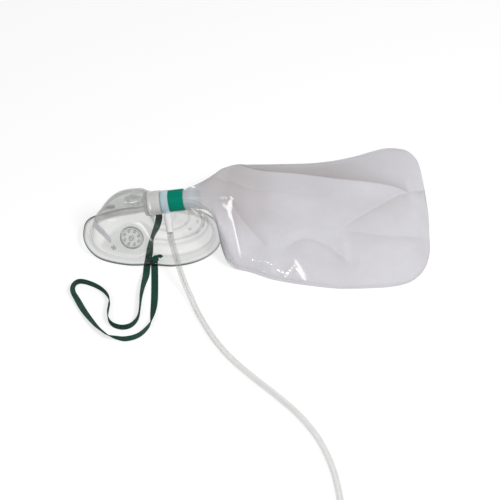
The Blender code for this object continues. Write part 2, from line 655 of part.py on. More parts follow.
def reservoir_bag(parent, axis, look):
    """Partly filled film bag: one closed form from the neck sleeve to the welded end."""
    start = AXIS_X + (band_start() + FIT) * math.cos(AXIS_RISE)
    band_end = AXIS_X + (band_start() + BAND_LENGTH) * math.cos(AXIS_RISE)
    neck = (start, band_end + FIT, *np.linspace(band_end + 3 * MM, 135 * MM, 5))
    shoulder = np.linspace(*BAG_SHOULDER_STATIONS)
    body = np.linspace(*BAG_BODY_STATIONS)
    end = [BAG_END_X - back * MM for back in BAG_END_STATIONS]
    rings = [bag_section(x) for x in (*neck, *shoulder, *body, *end)]
    verts, faces = skin_rings([ring[::-1] for ring in rings])
    bag = put("reservoir_bag", verts, faces, parent, look)
    bore = BAG_SPIGOT_RADIUS + FIT
    low = band_start() - 10 * MM
    high = collar_start() + COLLAR_LENGTH + BAG_SPIGOT_LENGTH + FIT
    cut = turned("bag_neck_bore", ((0, low), (bore, low), (bore, high), (0, high)), axis)
    combine(bag, cut, "DIFFERENCE")
    return bag


def strap_stations():
    """Centres of the strap with its turn: up out of a slot, round the loop, into the other."""
    slot_y = HALF_WIDTH - FLANGE_WIDTH / 2
    top = STRAP_ARCH_HEIGHT + FLANGE_THICKNESS + FIT
    flat = STRAP_THICKNESS / 2
    turn = STRAP_TURN_RADIUS
    corner = [(SLOT_X, slot_y, top, 0), (SLOT_X, slot_y, flat + turn, 0),
              (SLOT_X, slot_y - 0.3 * turn, flat + 0.3 * turn, 0),
              (SLOT_X, slot_y - turn, flat, 0)]
    near = [(x, y - 2 * slot_y, z, roll) for x, y, z, roll in corner]
    route = smooth_route([(x * MM, y * MM, 0, math.radians(roll)) for x, y, roll in STRAP_ROUTE],
                         STRAP_STEP)
    lean = route[:, 3]
    route[:, 2] = (STRAP_WIDTH * np.abs(np.sin(lean)) + STRAP_THICKNESS * np.cos(lean)) / 2
    return np.vstack([near, route, corner[::-1]])


def strap(parent, look):
    """One flat ribbon, turned about its own length as the route says."""
    stations = strap_stations()
    ways = np.gradient(stations[:, :3], axis=0)
    ways[:2], ways[-2:] = (0, 0, -1), (0, 0, 1)
    rings = []
    flat = Vector((1, 0, 0))
    for (x, y, z, roll), way in zip(stations, ways, strict=True):
        along = Vector(way).normalized()
        if abs(along.z) < 0.5:
            flat = Vector((-along.y, along.x, 0)).normalized()
        up = along.cross(flat).normalized()
        width = flat * math.cos(roll) + up * math.sin(roll)
        depth = along.cross(width).normalized()
        a, b = width * STRAP_WIDTH / 2, depth * STRAP_THICKNESS / 2
        centre = Vector((x, y, z))
        rings.append([tuple(centre + p) for p in (a + b, -a + b, -a - b, a - b)])
    verts, faces = skin_rings(rings)
    return put("strap", verts, faces, parent, look)


def strap_knot(name, side, parent, look):
    """Knot in the strap's end, on top of the flange over its slot."""
    bottom = STRAP_ARCH_HEIGHT + FLANGE_THICKNESS + 2 * FIT
    r, h = KNOT_RADIUS, KNOT_HEIGHT
    profile = ((0, bottom), (0.75 * r, bottom), (r, bottom + 0.35 * h), (0.9 * r, bottom + 0.75 * h),
               (0.45 * r, bottom + h), (0, bottom + h))
    axis = empty(f"{name}_axis", parent, Matrix.Translation(
        (SLOT_X, side * (HALF_WIDTH - FLANGE_WIDTH / 2), 0)))
    return turned(name, profile, axis, look, steps=16)


def tube_cuff(nipple_axis, look):
    """Soft cuff that joins the tube to the nipple."""
    bore = NIPPLE_TIP_RADIUS + 2 * FIT
    grip = CUFF_START + CUFF_STEP_LENGTH
    profile = ((bore, CUFF_START), (CUFF_RADIUS + CUFF_STEP_RISE, CUFF_START),
               (CUFF_RADIUS + CUFF_STEP_RISE, grip), (CUFF_RADIUS, grip + CUFF_STEP_RISE),
               (0.93 * CUFF_RADIUS, CUFF_END), (bore, CUFF_END))
    return turned("tube_cuff", profile, nipple_axis, look, steps=2 * SMALL_STEPS)


def curve_tube(name, points, radius, parent, look):
    """A round tube along points, with filled caps."""
    curve = bpy.data.curves.new(name, "CURVE")
    curve.dimensions = "3D"
    curve.bevel_depth = radius
    curve.bevel_resolution = 3
    curve.use_fill_caps = True
    curve.materials.append(look)
    spline = curve.splines.new("POLY")
    spline.points.add(len(points) - 1)
    for place, point in zip(spline.points, points, strict=True):
        place.co = (*point, 1)
    made = bpy.data.objects.new(name, curve)
    bpy.context.scene.collection.objects.link(made)
    made.parent = parent
    return made


def oxygen_tube(parent, nipple_axis, look):
    """The tube from the cuff, down to the table and on to the coil."""
    bpy.context.view_layer.update()
    placed = parent.matrix_world.inverted() @ nipple_axis.matrix_world
    first, second = (placed @ Vector((0, 0, CUFF_END + out)) for out in (FIT, TUBE_STRAIGHT))
    route = [tuple(second)] + [tuple(c * MM for c in p) for p in TUBE_ROUTE]
    points = [tuple(first), *smooth_route(route, TUBE_STEP)]
    return curve_tube("oxygen_tube", points, TUBE_RADIUS, parent, look)


def coil_parts(parent, clear, tie_look):
    """Coil of the stored length, the tie round it and the cuff on the tube's far end."""
    axis = empty("coil_axis", parent, Matrix.Translation((COIL_X, COIL_Y, 0)))
    half = COIL_TURNS_WIDE * TUBE_RADIUS
    low = COIL_LIFT
    high = low + 2 * TUBE_RADIUS * COIL_TURNS_HIGH
    soft = 0.6 * TUBE_RADIUS
    inner, outer = COIL_TURN_RADIUS - half, COIL_TURN_RADIUS + half
    profile = ((inner, low + soft), (inner + soft, low), (outer - soft, low), (outer, low + soft),
               (outer, high - soft), (outer - soft, high), (inner + soft, high), (inner, high - soft))
    turned("oxygen_tube_coil", profile, axis, clear, steps=COIL_STEPS)

    place = empty("tie_axis", axis, Matrix.Rotation(TIE_ANGLE, 4, "Z") @ Matrix.Translation(
        (COIL_TURN_RADIUS, 0, (low + high) / 2)))
    bow = inner - math.sqrt(inner**2 - (TIE_WIDTH / 2) ** 2)
    wide, tall = half + FIT, (high - low) / 2 + FIT
    loops = []
    for y, grow in ((-1, 0), (-1, TIE_THICKNESS), (1, TIE_THICKNESS), (1, 0)):
        out, back, up = wide + grow, -wide - bow - grow, tall + grow
        loops.append([(a, y * TIE_WIDTH / 2, b) for a, b in
                      ((out, up), (back, up), (back, -up), (out, -up))])
    verts, faces = skin_rings([loop[::-1] for loop in loops], closed=True)
    put("coil_tie", verts, faces, place, tie_look)

    lie = empty("end_cuff_axis", axis, Matrix.Rotation(END_CUFF_ANGLE, 4, "Z") @ Matrix.Translation(
        (COIL_TURN_RADIUS, END_CUFF_LENGTH / 2, high + FIT + END_CUFF_RADIUS))
        @ Matrix.Rotation(math.pi / 2, 4, "X"))
    grip, mouth, bore = END_CUFF_GRIP_RADIUS, END_CUFF_RADIUS, 0.6 * END_CUFF_RADIUS
    length = END_CUFF_LENGTH
    profile = ((bore, 0), (grip, 0), (grip, 0.45 * length), (mouth, 0.6 * length),
               (mouth, length), (bore, length))
    turned("tube_end_cuff", profile, lie, clear, steps=2 * SMALL_STEPS)


def build():
    remove_everything()
    pvc = material("clear_pvc", (0.80, 0.83, 0.82), 0.12, alpha=0.45)
    film = material("bag_film", (0.72, 0.70, 0.74), 0.25, alpha=0.6)
    blue = material("pale_blue_plastic", (0.38, 0.54, 0.60), 0.3, alpha=0.85)
    green = material("green_plastic", (0.0, 0.22, 0.14), 0.35)
    elastic = material("green_elastic", (0.012, 0.055, 0.035), 0.85)
    silicone = material("flap_silicone", (0.75, 0.77, 0.76), 0.4, alpha=0.7)
    metal = material("clip_metal", (0.46, 0.44, 0.46), 0.4, metallic=1.0)
    tubing = material("clear_tubing", (0.68, 0.69, 0.66), 0.2, alpha=0.6)
    paper = material("tie_paper", (0.82, 0.82, 0.80), 0.9)

    # The frame's origin stands under the middle of the mask and bag
    frame = empty("mask_frame", None, Matrix.Translation(
        (-BAG_END_X / 2, (BAG_NEAR_REACH - BAG_FAR_REACH) / 2, 0)))
    axis = empty("connector_axis", frame, Matrix.Translation((AXIS_X, 0, AXIS_Z))
                 @ Matrix.Rotation(math.pi / 2 - AXIS_RISE, 4, "Y"))
    inlet = Matrix.Translation((AXIS_X + inlet_height() * math.cos(AXIS_RISE), 0,
                                AXIS_Z + inlet_height() * math.sin(AXIS_RISE)))
    nipple_axis = empty("nipple_axis", frame,
                        inlet @ NIPPLE_DIRECTION.to_track_quat("Z", "Y").to_matrix().to_4x4())

    shell = shell_body(frame, pvc)
    outside, bore = socket_tools(axis)
    combine(shell, outside, "UNION")
    for name, side in (("near", -1), ("far", 1)):
        place = empty(f"port_axis_{name}", frame, on_shell(PORT_X, side * PORT_Y))
        combine(shell, port_boss(f"port_boss_{name}", place), "UNION")
        combine(shell, port_holes(f"port_holes_{name}", place), "DIFFERENCE")
        exhale_flap(f"exhale_flap_{name}", place, silicone)

        stake_y = side * (CLIP_REACH + 0.55 * STAKE_SETBACK)
        stake_place = empty(f"stake_axis_{name}", frame, on_shell(CLIP_END_X + STAKE_SETBACK, stake_y))
        stake = turned(f"clip_stake_{name}", (
            (0, -WALL / 2), (STAKE_RADIUS, -WALL / 2), (STAKE_RADIUS, STAKE_HEIGHT / 2),
            (0.6 * STAKE_RADIUS, STAKE_HEIGHT), (0, STAKE_HEIGHT)), stake_place, steps=SMALL_STEPS)
        combine(shell, stake, "UNION")

        slot = block(f"strap_slot_{name}", (STRAP_WIDTH + 2 * SLOT_CLEARANCE,
                                            STRAP_THICKNESS + 2 * SLOT_CLEARANCE,
                                            4 * (STRAP_ARCH_HEIGHT + FLANGE_THICKNESS)),
                     (SLOT_X, side * (HALF_WIDTH - FLANGE_WIDTH / 2), 0), frame)
        combine(shell, slot, "DIFFERENCE")
        strap_knot(f"strap_knot_{name}", side, frame, elastic)
    combine(shell, bore, "DIFFERENCE")

    nose_clip(frame, metal)
    connector(axis, nipple_axis, blue)
    inhale_flap(axis, silicone)
    bag_band(axis, green)
    reservoir_bag(frame, axis, film)
    strap(frame, elastic)
    tube_cuff(nipple_axis, tubing)
    oxygen_tube(frame, nipple_axis, tubing)
    coil_parts(frame, tubing, paper)


build()
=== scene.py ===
# Oxygen face mask with its reservoir bag, strap and supply tube, laid down on its rim.
# Mask coordinates are millimetres from the tip of the nose end: x along the mask to the closed
# end of the bag, y across from the mask's own plane, z up from the table.

import math

import bmesh
import bpy
import numpy as np
from mathutils import Matrix, Vector


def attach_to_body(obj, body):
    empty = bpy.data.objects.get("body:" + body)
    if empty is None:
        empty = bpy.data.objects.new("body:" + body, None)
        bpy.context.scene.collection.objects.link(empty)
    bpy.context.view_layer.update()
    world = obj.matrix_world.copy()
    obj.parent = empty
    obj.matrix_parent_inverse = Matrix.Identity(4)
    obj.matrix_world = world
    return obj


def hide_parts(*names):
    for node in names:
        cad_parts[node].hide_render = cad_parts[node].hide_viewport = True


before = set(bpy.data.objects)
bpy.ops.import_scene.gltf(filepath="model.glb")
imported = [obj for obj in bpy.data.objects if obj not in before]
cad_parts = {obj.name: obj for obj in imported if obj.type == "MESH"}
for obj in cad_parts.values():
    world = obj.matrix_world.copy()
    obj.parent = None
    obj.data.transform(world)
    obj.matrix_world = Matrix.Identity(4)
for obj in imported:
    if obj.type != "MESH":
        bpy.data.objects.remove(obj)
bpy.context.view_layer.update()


# Mask shell: one injection moulding of clear soft PVC about 1.4 mm thick, with a flat rim that
# seals on the face, a dome over the nose and a fluted lower part that folds with the chin.
# The socket, the seats of the exhale valves and the stakes of the nose clip are moulded with it.

MM = 0.001
NOSE_TIP = np.array([-200.0, -19.0, 0.0])  # where the tip of the nose end stands in the frame
FIT = 0.3
NOSE_LENGTH = 95
CHIN_LENGTH = 65
HALF_WIDTH = 50
FLANGE_WIDTH = 9
FLANGE_THICKNESS = 1.4
WALL = 1.4
DOME_HEIGHT = 68.5
DOME_TOP_X = 60
CHIN_START = 84
CHIN_POWER = 2.15
NOSE_POWER = 2.6
SADDLE_HEIGHT = 9
SADDLE_LENGTH = 26
SLOT_X = 84.2
SLOT_Y = HALF_WIDTH - FLANGE_WIDTH / 2
AXIS_X = 78
AXIS_Z = 51.8
AXIS_RISE = math.radians(9)
SOCKET_RADIUS = 13.7
SOCKET_LENGTH = 15.5
MASK_SPIGOT_RADIUS = 11
PORT_X = 59
PORT_Y = 31
PORT_RADIUS = 13.2
PORT_RISE = 1.2
HOLE_COUNT = 8
HOLE_CIRCLE = 8.6
HOLE_RADIUS = 1.25
FLAP_RADIUS = 12.4
FLAP_THICKNESS = 0.7
CLIP_REACH = 28.3
CLIP_END_X = 35.5

# Folds pressed into the wall, on both sides of the mask: points in millimetres, how far they
# stand out and how wide they are
SHELL_FOLDS = (
    (((16, 4), (24, 9.5), (34, 14.5), (48, 17.6), (62, 18.0), (76, 16.6)), -1.5, 3.2),
    (((40, 20), (53, 22.6), (61, 23.8), (69, 26.2), (75.5, 29.2), (81, 33)), 1.1, 2.4),
    (((81, 33), (79.6, 37.5), (77, 40.2)), 0.5, 1.8),
    (((84, 33.5), (94.4, 36.6), (103.4, 36.9), (111.8, 35.2), (128.9, 26.4), (141, 14)), 0.9, 1.8),
    (((106, 30), (112, 23), (118, 16), (122, 12)), 0.9, 1.6),
    (((113, 32), (119, 26), (126, 20), (131, 15)), 0.8, 1.6),
)


def smooth_step(x, low, high):
    t = np.clip((x - low) / (high - low), 0, 1)
    return t * t * (3 - 2 * t)


def travelled(points):
    """How far each point lies from the first one, along the line of points."""
    return np.concatenate([[0], np.linalg.norm(np.diff(points, axis=0), axis=1).cumsum()])


def folds(x, y, lines, sharp=1.0):
    """Sum of pressed folds at plan points: each has a soft crest and fades at both ends."""
    total = np.zeros(np.broadcast(x, y).shape)
    for points, height, width in lines:
        points = np.array(points, float)
        along = travelled(points)
        along /= along[-1]
        best = np.full(total.shape, 1e9)
        place = np.zeros(total.shape)
        for i, (a, b) in enumerate(zip(points[:-1], points[1:])):
            way = b - a
            t = np.clip(((x - a[0]) * way[0] + (y - a[1]) * way[1]) / (way @ way), 0, 1)
            away = np.hypot(x - a[0] - t * way[0], y - a[1] - t * way[1])
            closer = away < best
            best = np.where(closer, away, best)
            place = np.where(closer, along[i] + t * (along[i + 1] - along[i]), place)
        fade = smooth_step(place, -0.02, 0.16) * (1 - smooth_step(place, 0.84, 1.02))
        r = best / width
        total += height * fade * np.exp(-((r * r + 0.04) ** (0.5 * sharp + 0.5) - 0.04))
    return total


def rim_outline(angle, inset):
    """Points of the rim, angle 0 at the chin, moved in by inset."""
    c, s = np.cos(angle), np.sin(angle)
    length = np.where(c >= 0, CHIN_LENGTH, NOSE_LENGTH) - inset
    power = 2 / np.where(c >= 0, CHIN_POWER, NOSE_POWER)
    x = NOSE_LENGTH + np.sign(c) * length * np.abs(c) ** power
    return np.stack([x, np.sign(s) * (HALF_WIDTH - inset) * np.abs(s) ** power], axis=-1)


def rim_lift(x):
    """Saddle at the nose and the low arch where the strap runs under the rim."""
    reach = np.clip((x - SLOT_X + 3.9) / 26, -1, 1)
    return SADDLE_HEIGHT * np.clip(1 - x / SADDLE_LENGTH, 0, 1) ** 2 + 2.1 * (1 - reach**2) ** 2


def wall_height(x, y):
    """Outside of the moulding over the flange."""
    fall, chin_wall, chin_rise, flute, blend = 28, 19, 14, 1.1, 7
    half = HALF_WIDTH - FLANGE_WIDTH
    nose = x < NOSE_LENGTH
    length = np.where(nose, NOSE_LENGTH, CHIN_LENGTH) - FLANGE_WIDTH
    power = np.where(nose, NOSE_POWER, CHIN_POWER)
    along = np.clip(np.abs(x - NOSE_LENGTH) / length, 0, 1)
    edge = np.clip((along**power + (np.abs(y) / half) ** power) ** (1 / power), 0, 1)
    back = np.clip((DOME_TOP_X - x) / (DOME_TOP_X - FLANGE_WIDTH), 0, 1)
    front = np.clip((x - DOME_TOP_X) / fall, 0, 1)
    ridge = DOME_HEIGHT * np.where(x < DOME_TOP_X, (1 - back**2.2) ** (1 / 1.3),
                                   (1 - front**4) ** (1 / 1.4))
    foot = np.maximum(half * (1 - along**power) ** (1 / power), 0.001)
    dome = ridge * np.clip(1 - (np.abs(y) / foot) ** 2, 0, 1)
    ledge = 1 - edge**10
    flutes = flute * np.sin(2 * math.pi * 3.6 * edge) * smooth_step(edge, 0.25, 0.5)
    chin = chin_wall * ledge**0.35 + chin_rise * (1 - edge**2) + flutes * ledge
    chin *= smooth_step(x, 60, 80)
    inside_foot = np.clip(8 * (1 - edge), 0, 1)
    soft = blend * np.maximum(inside_foot, 0.02)
    near = np.clip(soft - np.abs(dome - chin), 0, None) / soft
    pressed = folds(x, np.abs(y), SHELL_FOLDS) * smooth_step(1 - edge, 0.0, 0.06)
    return np.maximum(dome, chin) + near**2 * soft / 4 * inside_foot + pressed


def shell_point(x, y):
    x, y = np.asarray(x, float), np.asarray(y, float)
    return np.stack([x, y, rim_lift(x) + FLANGE_THICKNESS + wall_height(x, y)], axis=-1)


def shell_normal(x, y):
    step = 0.2
    along = shell_point(x + step, y) - shell_point(x - step, y)
    across = shell_point(x, y + step) - shell_point(x, y - step)
    normal = np.cross(along, across)
    return normal / np.linalg.norm(normal)


def on_shell(x, y):
    """Place on the wall whose local Z points straight out of it."""
    turn = Vector(shell_normal(x, y)).to_track_quat("Z", "Y").to_matrix().to_4x4()
    return Matrix.Translation(Vector(shell_point(x, y))) @ turn


def in_frame(points):
    """Mask coordinates as metres in the frame."""
    return (np.array(points, float) + NOSE_TIP) * MM


def shape(name, verts, faces, look=None, place=None, sharp=35):
    """A mesh in mask coordinates, put where the mask lies in the frame."""
    verts = np.array([tuple(v) for v in verts], float)
    if place is not None:
        turn = np.array(place)
        verts = verts @ turn[:3, :3].T + turn[:3, 3]
    mesh = bpy.data.meshes.new(name)
    mesh.from_pydata([tuple(v) for v in in_frame(verts)], [], [tuple(f) for f in faces])
    mesh.shade_smooth()
    mesh.set_sharp_from_angle(angle=math.radians(sharp))
    if look:
        mesh.materials.append(look)
    made = bpy.data.objects.new(name, mesh)
    bpy.context.scene.collection.objects.link(made)
    return made


def rings_to_faces(rows, count, loop=False, caps=False):
    faces = []
    for i in range(rows if loop else rows - 1):
        low, high = i * count, ((i + 1) % rows) * count
        faces += [(low + j, low + (j + 1) % count, high + (j + 1) % count, high + j)
                  for j in range(count)]
    if caps:
        faces.append(tuple(range(count))[::-1])
        faces.append(tuple(range((rows - 1) * count, rows * count)))
    return faces


def lofted(name, rings, look=None, place=None, loop=False, sharp=35):
    """Rings of points joined into one skin, with caps or closed to a loop."""
    verts = [v for ring in rings for v in ring]
    faces = rings_to_faces(len(rings), len(rings[0]), loop, not loop)
    return shape(name, verts, faces, look, place, sharp)


def block(name, half_x, half_y, low, high, place):
    """A box from a low to a high Z, as the tool for a Boolean."""
    corners = [(a * half_x, b * half_y) for a, b in ((-1, -1), (1, -1), (1, 1), (-1, 1))]
    return lofted(name, [[(x, y, z) for x, y in corners] for z in (low, high)], None, place)


def rounded(profile, radius, steps):
    """The same profile with its corners rounded, where a corner's sides leave room."""
    points = [np.array(p, float) for p in profile]
    done = []
    for i, corner in enumerate(points):
        a, b = points[i - 1] - corner, points[(i + 1) % len(points)] - corner
        r = min(radius, 0.45 * np.linalg.norm(a), 0.45 * np.linalg.norm(b))
        a, b = a / np.linalg.norm(a), b / np.linalg.norm(b)
        if corner[0] == 0 or abs(np.dot(a, b)) > 0.98:
            done.append(tuple(corner))
        else:
            done += [tuple(corner + r * (a * (1 - t) ** 2 + b * t * t)) for t in np.linspace(0, 1, steps)]
    return done


def turned(name, profile, look=None, place=None, corner=0, corner_steps=3, steps=96):
    """Turn a closed profile of (radius, height) about Z, with its corners rounded. Radius 0 at
    both ends makes it solid."""
    if corner:
        profile = rounded(profile, corner, corner_steps)
    around = np.linspace(0, 2 * math.pi, steps, endpoint=False)
    solid = profile[0][0] == 0
    inner = profile[1:-1] if solid else profile
    verts = [(r * math.cos(a), r * math.sin(a), z) for r, z in inner for a in around]
    faces = rings_to_faces(len(inner), steps, loop=not solid)
    if solid:
        low, high, last = len(verts), len(verts) + 1, (len(inner) - 1) * steps
        verts += [(0, 0, profile[0][1]), (0, 0, profile[-1][1])]
        for j in range(steps):
            k = (j + 1) % steps
            faces += [(low, k, j), (high, last + j, last + k)]
    return shape(name, verts, faces, look, place)


def node_tree(name, inputs, kinds, links):
    """A Geometry Nodes tree: its inputs, its nodes, and its links as node.output > node.input."""
    tree = bpy.data.node_groups.new(name, "GeometryNodeTree")
    for label, kind in {"Geometry": "Geometry", **inputs}.items():
        tree.interface.new_socket(label, in_out="INPUT", socket_type="NodeSocket" + kind)
    tree.interface.new_socket("Geometry", in_out="OUTPUT", socket_type="NodeSocketGeometry")
    nodes = {"in": tree.nodes.new("NodeGroupInput"), "out": tree.nodes.new("NodeGroupOutput")}
    for label, kind in kinds.items():
        nodes[label] = tree.nodes.new("GeometryNode" + kind)
    for link in links:
        (start, output), (end, entry) = (half.split(".") for half in link.split(" > "))
        tree.links.new(nodes[start].outputs[output], nodes[end].inputs[entry])
    return tree


# A number of round pins on a circle, as the tool for a ring of holes
pins = node_tree(
    "ring_of_pins", {"Count": "Int", "Circle": "Float", "Sides": "Int", "Pin radius": "Float",
                     "Pin length": "Float", "Material": "Material"},
    {"ring": "MeshCircle", "pin": "MeshCylinder", "spread": "InstanceOnPoints",
     "solid": "RealizeInstances", "paint": "SetMaterial"},
    ("in.Count > ring.Vertices", "in.Circle > ring.Radius", "in.Sides > pin.Vertices",
     "in.Pin radius > pin.Radius", "in.Pin length > pin.Depth", "ring.Mesh > spread.Points",
     "pin.Mesh > spread.Instance", "spread.Instances > solid.Geometry",
     "solid.Geometry > paint.Geometry", "in.Material > paint.Material",
     "paint.Geometry > out.Geometry"))


def grown(carrier, tree, settings):
    """Run a tree on an object and return the result as a plain mesh."""
    step = carrier.modifiers.new(tree.name, "NODES")
    step.node_group = tree
    for item in tree.interface.items_tree:
        if item.in_out == "INPUT" and item.name in settings:
            step[item.identifier] = settings[item.name]
    bpy.context.view_layer.update()
    ready = carrier.evaluated_get(bpy.context.evaluated_depsgraph_get())
    mesh = bpy.data.meshes.new_from_object(ready)
    carrier.modifiers.remove(step)
    return mesh


def joined(name, parts):
    """Several closed tools as one object."""
    verts, faces = [], []
    for part in parts:
        start = len(verts)
        verts += [np.array(v.co) / MM - NOSE_TIP for v in part.data.vertices]
        faces += [tuple(start + i for i in f.vertices) for f in part.data.polygons]
        bpy.data.objects.remove(part)
    return shape(name, verts, faces)


def combined(target, tool, operation):
    """Apply one exact Boolean and drop the tool."""
    step = target.modifiers.new(operation, "BOOLEAN")
    step.operation = operation
    step.solver = "EXACT"
    step.object = tool
    bpy.context.view_layer.update()
    ready = target.evaluated_get(bpy.context.evaluated_depsgraph_get())
    mesh = bpy.data.meshes.new_from_object(ready)
    target.modifiers.remove(step)
    clean = bmesh.new()
    clean.from_mesh(mesh)
    bmesh.ops.remove_doubles(clean, verts=clean.verts, dist=0.005 * MM)
    bmesh.ops.dissolve_degenerate(clean, edges=clean.edges, dist=0.005 * MM)
    clean.to_mesh(mesh)
    clean.free()
    target.data = mesh
    bpy.data.objects.remove(tool)


def refinished(made, look):
    """Even shading and one material again, after the Booleans."""
    made.data.shade_smooth()
    made.data.set_sharp_from_angle(angle=math.radians(40))
    made.data.materials.clear()
    made.data.materials.append(look)


def math_step(operation):
    """A method of Wire that adds one Math node."""
    return lambda wire, *others: wire.maths(operation, wire, *others)


class Wire:
    """A node socket in an expression: its operators add the Math nodes that they stand for."""

    def __init__(self, tree, socket):
        self.tree = tree
        self.socket = socket

    def maths(self, operation, *values):
        step = self.tree.nodes.new("ShaderNodeMath")
        step.operation = operation
        for place, value in zip(step.inputs, values):
            attach(self.tree, place, value)
        return Wire(self.tree, step.outputs[0])

    def __rsub__(self, other):
        return self.maths("SUBTRACT", other, self)

    def __rtruediv__(self, other):
        return self.maths("DIVIDE", other, self)

    def on(self, value, width):
        """1 at a value, falling to 0 a width away from it."""
        return (1 - (self - value).size() / width).most(0)

    __add__ = __radd__ = math_step("ADD")
    __mul__ = __rmul__ = math_step("MULTIPLY")
    __sub__ = math_step("SUBTRACT")
    __truediv__ = math_step("DIVIDE")
    __pow__ = math_step("POWER")
    least = math_step("MINIMUM")
    most = math_step("MAXIMUM")
    size = math_step("ABSOLUTE")
    over = math_step("GREATER_THAN")


def attach(tree, place, value):
    """Give a socket a link or a value."""
    if isinstance(value, Wire):
        tree.links.new(value.socket, place)
    elif hasattr(value, "__len__") and len(value) == 3 and len(place.default_value) == 4:
        place.default_value = (*value, 1.0)
    else:
        place.default_value = value


class Finish:
    """A material or world being made. add() takes a shader node's type, what goes into its
    sockets, the output that is wanted and the node's settings."""

    def __init__(self, name, kind=bpy.data.materials):
        self.owner = kind.new(name)
        self.owner.use_nodes = True
        self.tree = self.owner.node_tree
        self.tree.nodes.clear()

    def add(self, kind, sockets=None, output=0, **settings):
        node = self.tree.nodes.new("ShaderNode" + kind)
        for key, value in settings.items():
            setattr(node, key, value)
        for key, value in (sockets or {}).items():
            place = node.inputs[int(key[1:]) if key.startswith("#") else key]
            attach(self.tree, place, value)
        return Wire(self.tree, node.outputs[output])

    def done(self, surface, end="OutputMaterial"):
        out = self.tree.nodes.new("ShaderNode" + end)
        self.tree.links.new(surface.socket, out.inputs["Surface"])
        return self.owner

    def here(self):
        return self.add("TexCoord", output="Object")

    def noise(self, scale, detail=2.0, roughness=0.5, stretch=None):
        at = self.here()
        if stretch:
            at = self.add("Mapping", {"Vector": at, "Scale": stretch})
        return self.add("TexNoise", {
            "Vector": at, "Scale": scale, "Detail": detail, "Roughness": roughness})

    def bump(self, height, strength, distance):
        return self.add("Bump", {"Height": height, "Strength": strength, "Distance": distance})

    def facing(self, normal=None):
        """0 where the surface faces the eye, 1 where it is seen on edge."""
        sockets = {"Blend": 0.5, "Normal": normal} if normal else {"Blend": 0.5}
        return self.add("LayerWeight", sockets, 1)

    def clear(self, color):
        return self.add("BsdfTransparent", {"Color": color})

    def skin(self, color, roughness, normal, **more):
        return self.add("BsdfPrincipled", {
            "Base Color": color, "Roughness": roughness, "Normal": normal, **more})

    def gloss(self, roughness, normal):
        return self.add("BsdfGlossy", {"Color": (1, 1, 1), "Roughness": roughness, "Normal": normal})

    def mix(self, share, one, two):
        return self.add("MixShader", {"Fac": share, "#1": one, "#2": two})

    def blend(self, share, one, two):
        return self.add("Mix", {"Factor": share, "#6": one, "#7": two}, 2, data_type="RGBA")


def local(look, place=Matrix.Identity(4)):
    """Mask coordinates of the shaded point, or its coordinates at a placed feature."""
    turn = place.inverted()
    start = turn @ Vector(-NOSE_TIP)
    return [start[i] + look.add("VectorMath", {
        "#0": look.here(), "#1": tuple(turn[i][k] / MM for k in range(3))}, 1, operation="DOT_PRODUCT")
        for i in range(3)]


def port_painted_shade(look, rings, hole):
    """Painted shade lines: rings (radius, width, strength) and the edges of the holes at both exhale
    ports, weaker at the far port.
    """
    total = 0
    for place in port_places.values():
        a, b, high = local(look, place)
        radius = (a * a + b * b) ** 0.5
        lines = 0
        for at, width, strength in rings:
            lines += radius.on(at, width) * strength
        turn = a.maths("ARCTAN2", b, a) * (HOLE_COUNT / math.tau)
        off = (turn - turn.maths("FLOOR", turn) - 0.5) * (math.tau / HOLE_COUNT)
        beside = radius * (2 * HOLE_CIRCLE) * off.maths("COSINE", off)
        span = (radius * radius + HOLE_CIRCLE**2 - beside).most(0) ** 0.5
        lines += span.on(HOLE_RADIUS, 0.45) * hole
        strength = 1.0 if place.translation.y < 0 else 0.35
        total += lines * strength * (1 - high.size().over(4.0))
    return total


def clear_look(name, haze_color, haze, through, edge_through, edge_power, roughness, wave,
               wave_scale, corners=None, milk=None, highlight_streaks=None):
    """Clear soft plastic: lets light through with a little haze, darker where the wall is seen on edge,
    with a thin reflecting skin that is not quite even. Painted shade lines at corners and painted
    highlight streaks can be laid over it."""
    look = Finish(name)
    normal = look.bump(look.noise(wave_scale, 3.0, 0.5), 1.0, wave)
    facing = look.facing(normal)
    edge = facing ** edge_power
    if milk:
        x, y = local(look)[:2]
        upper = 1 - x.over(CHIN_START)
        crease = (y.size() - curve_through(x, NOSE_CREASE)).on(2, 7)
        # Painted light: the darkening on edge is made weaker over the chin and along the nose crease.
        edge = edge * (1 - 0.92 * x.over(CHIN_START)) * (1 - 0.8 * crease * upper)
    body = look.mix(edge, look.clear(through), look.clear(edge_through))
    # Painted shade: a dark tint mixed in where the lines lie.
    if corners:
        body = look.mix(corners(look).least(1), body, look.clear((0.16, 0.20, 0.18)))
    share = haze * (0.7 + 0.6 * look.noise(28, 3.0, 0.6))
    body = look.mix(share.most(milk(look)) if milk else share, body,
                    look.skin(haze_color, 0.45, normal))
    gloss = (0.015 + 0.6 * facing ** 4.0).least(0.35)
    # Painted highlights: the streaks raise the share of the reflection where they lie.
    return look.done(look.mix(gloss.most(highlight_streaks(look)) if highlight_streaks else gloss, body,
                              look.gloss(roughness, normal)))


connector_place = (Matrix.Translation((AXIS_X, 0, AXIS_Z))
                   @ Matrix.Rotation(math.pi / 2 - AXIS_RISE, 4, "Y"))
port_places = {"near": on_shell(PORT_X, -PORT_Y), "far": on_shell(PORT_X, PORT_Y)}
stake_places = {side: on_shell(CLIP_END_X + 1.8, side * (CLIP_REACH + 3.1)) for side in (-1, 1)}
NOSE_CREASE, NOSE_FOLD = (fold[0] for fold in SHELL_FOLDS[:2])
# In the socket's own x and y, (DOWN, -AWAY) points down the picture and (AWAY, DOWN) away in it
DOWN, AWAY = 0.707, 0.698


def curve_through(x, points):
    """The cubic nearest to a row of (x, y) points, read at a wire."""
    xs, ys = zip(*points)
    a, b, c, d = (float(k) for k in np.polyfit(xs, ys, 3))
    return ((a * x + b) * x + c) * x + d


